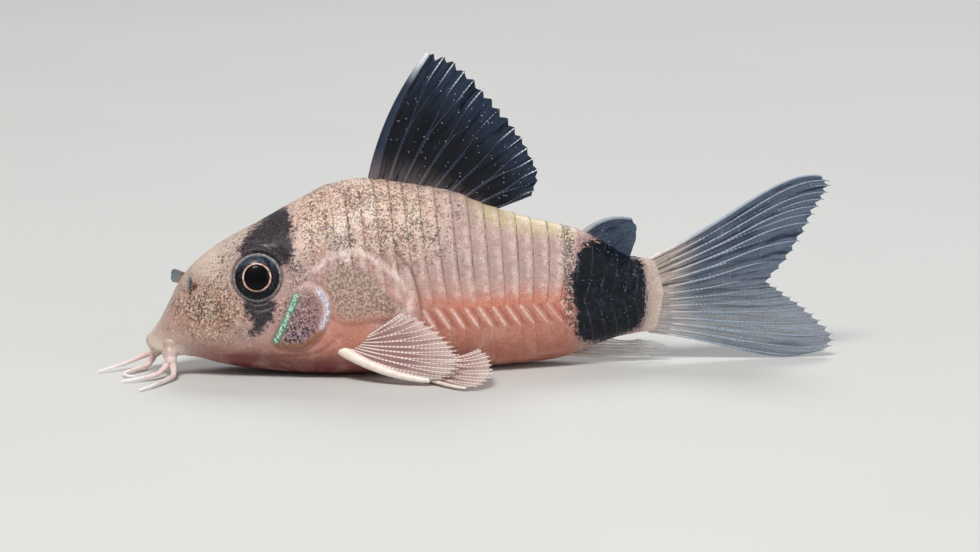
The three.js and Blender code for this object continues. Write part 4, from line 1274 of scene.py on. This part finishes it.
class CorydorasSizes(bpy.types.PropertyGroup):
    """Sizes that a user may change."""

    plate_height: FloatProperty(
        name="Plate height", description="Step from one armour plate to the next",
        default=0.15 * MM, unit="LENGTH",
    )
    whisker_width: FloatProperty(
        name="Whisker width", description="Width of a whisker at its root", default=0.56 * MM, unit="LENGTH"
    )
    membrane_thickness: FloatProperty(
        name="Membrane thickness", description="Thickness of the fins' skin", default=0.08 * MM, unit="LENGTH"
    )
    skin_sides: IntProperty(
        name="Skin sides", description="Corners round each ring of the skin", default=360, min=64
    )


class CorydorasColours(bpy.types.PropertyGroup):
    """Colours that a user may change."""

    pink: FloatVectorProperty(
        name="Pink", description="Back and head", subtype="COLOR", size=3,
        default=colour(0.71, 0.6, 0.58)[:3],
    )
    salmon: FloatVectorProperty(
        name="Salmon", description="Flanks and belly", subtype="COLOR", size=3,
        default=colour(0.77, 0.52, 0.45)[:3],
    )
    black: FloatVectorProperty(
        name="Black", description="Band on the tail stalk", subtype="COLOR", size=3,
        default=colour(0.03, 0.045, 0.08)[:3],
    )
    ring: FloatVectorProperty(
        name="Eye ring", description="Thin ring round the pupil", subtype="COLOR", size=3,
        default=colour(0.96, 0.8, 0.7)[:3],
    )
    fin_blue: FloatVectorProperty(
        name="Fin blue", description="Outer part of the dark fin", subtype="COLOR", size=3,
        default=colour(0.15, 0.21, 0.3)[:3],
    )
    ray_cream: FloatVectorProperty(
        name="Ray cream", description="Rays of the paired fins", subtype="COLOR", size=3,
        default=colour(0.97, 0.92, 0.87)[:3],
    )


class CORYDORAS_OT_skin(bpy.types.Operator):
    """Build the armoured skin, the lobes at the mouth and the nostril flaps."""

    bl_idname = "corydoras.skin"
    bl_label = "Skin"

    def execute(self, context):
        build_skin(context.scene.corydoras_sizes)
        build_lobes()
        build_nostril_flaps()
        return {"FINISHED"}


class CORYDORAS_OT_eyes(bpy.types.Operator):
    """Build both eyes."""

    bl_idname = "corydoras.eyes"
    bl_label = "Eyes"

    def execute(self, context):
        build_eyes()
        return {"FINISHED"}


class CORYDORAS_OT_whiskers(bpy.types.Operator):
    """Build the four whiskers."""

    bl_idname = "corydoras.whiskers"
    bl_label = "Whiskers"

    def execute(self, context):
        build_whiskers(context.scene.corydoras_sizes)
        return {"FINISHED"}


class CORYDORAS_OT_fins(bpy.types.Operator):
    """Build every fin, with its membrane and rays."""

    bl_idname = "corydoras.fins"
    bl_label = "Fins"

    def execute(self, context):
        looks = fin_looks(context.scene.corydoras_colours)
        for name in FINS:
            build_fin(name, looks, context.scene.corydoras_sizes)
        return {"FINISHED"}


class CORYDORAS_OT_stage(bpy.types.Operator):
    """Build the floor, the lights and the camera."""

    bl_idname = "corydoras.stage"
    bl_label = "Stage"

    def execute(self, context):
        build_stage()
        return {"FINISHED"}


class CORYDORAS_PT_panel(bpy.types.Panel):
    """Sidebar panel with the fish's pieces."""

    bl_label = "Panda Corydoras"
    bl_idname = "CORYDORAS_PT_panel"
    bl_space_type = "VIEW_3D"
    bl_region_type = "UI"
    bl_category = "Corydoras"

    def draw(self, context):
        column = self.layout.column()
        for group in (context.scene.corydoras_sizes, context.scene.corydoras_colours):
            for label in group.bl_rna.properties.keys():
                if label not in ("rna_type", "name"):
                    column.prop(group, label)
        for operator in OPERATORS:
            column.operator(operator.bl_idname)


OPERATORS = (
    CORYDORAS_OT_skin,
    CORYDORAS_OT_eyes,
    CORYDORAS_OT_whiskers,
    CORYDORAS_OT_fins,
    CORYDORAS_OT_stage,
)
CLASSES = (CorydorasSizes, CorydorasColours, *OPERATORS, CORYDORAS_PT_panel)


def register():
    for cls in CLASSES:
        bpy.utils.register_class(cls)
    bpy.types.Scene.corydoras_sizes = PointerProperty(type=CorydorasSizes)
    bpy.types.Scene.corydoras_colours = PointerProperty(type=CorydorasColours)


def unregister():
    del bpy.types.Scene.corydoras_colours
    del bpy.types.Scene.corydoras_sizes
    for cls in reversed(CLASSES):
        bpy.utils.unregister_class(cls)


def main():
    """Builds every piece and the stage."""
    register()
    bpy.ops.corydoras.skin()
    bpy.ops.corydoras.eyes()
    bpy.ops.corydoras.whiskers()
    bpy.ops.corydoras.fins()
    bpy.ops.corydoras.stage()


if __name__ == "__main__":
    main()
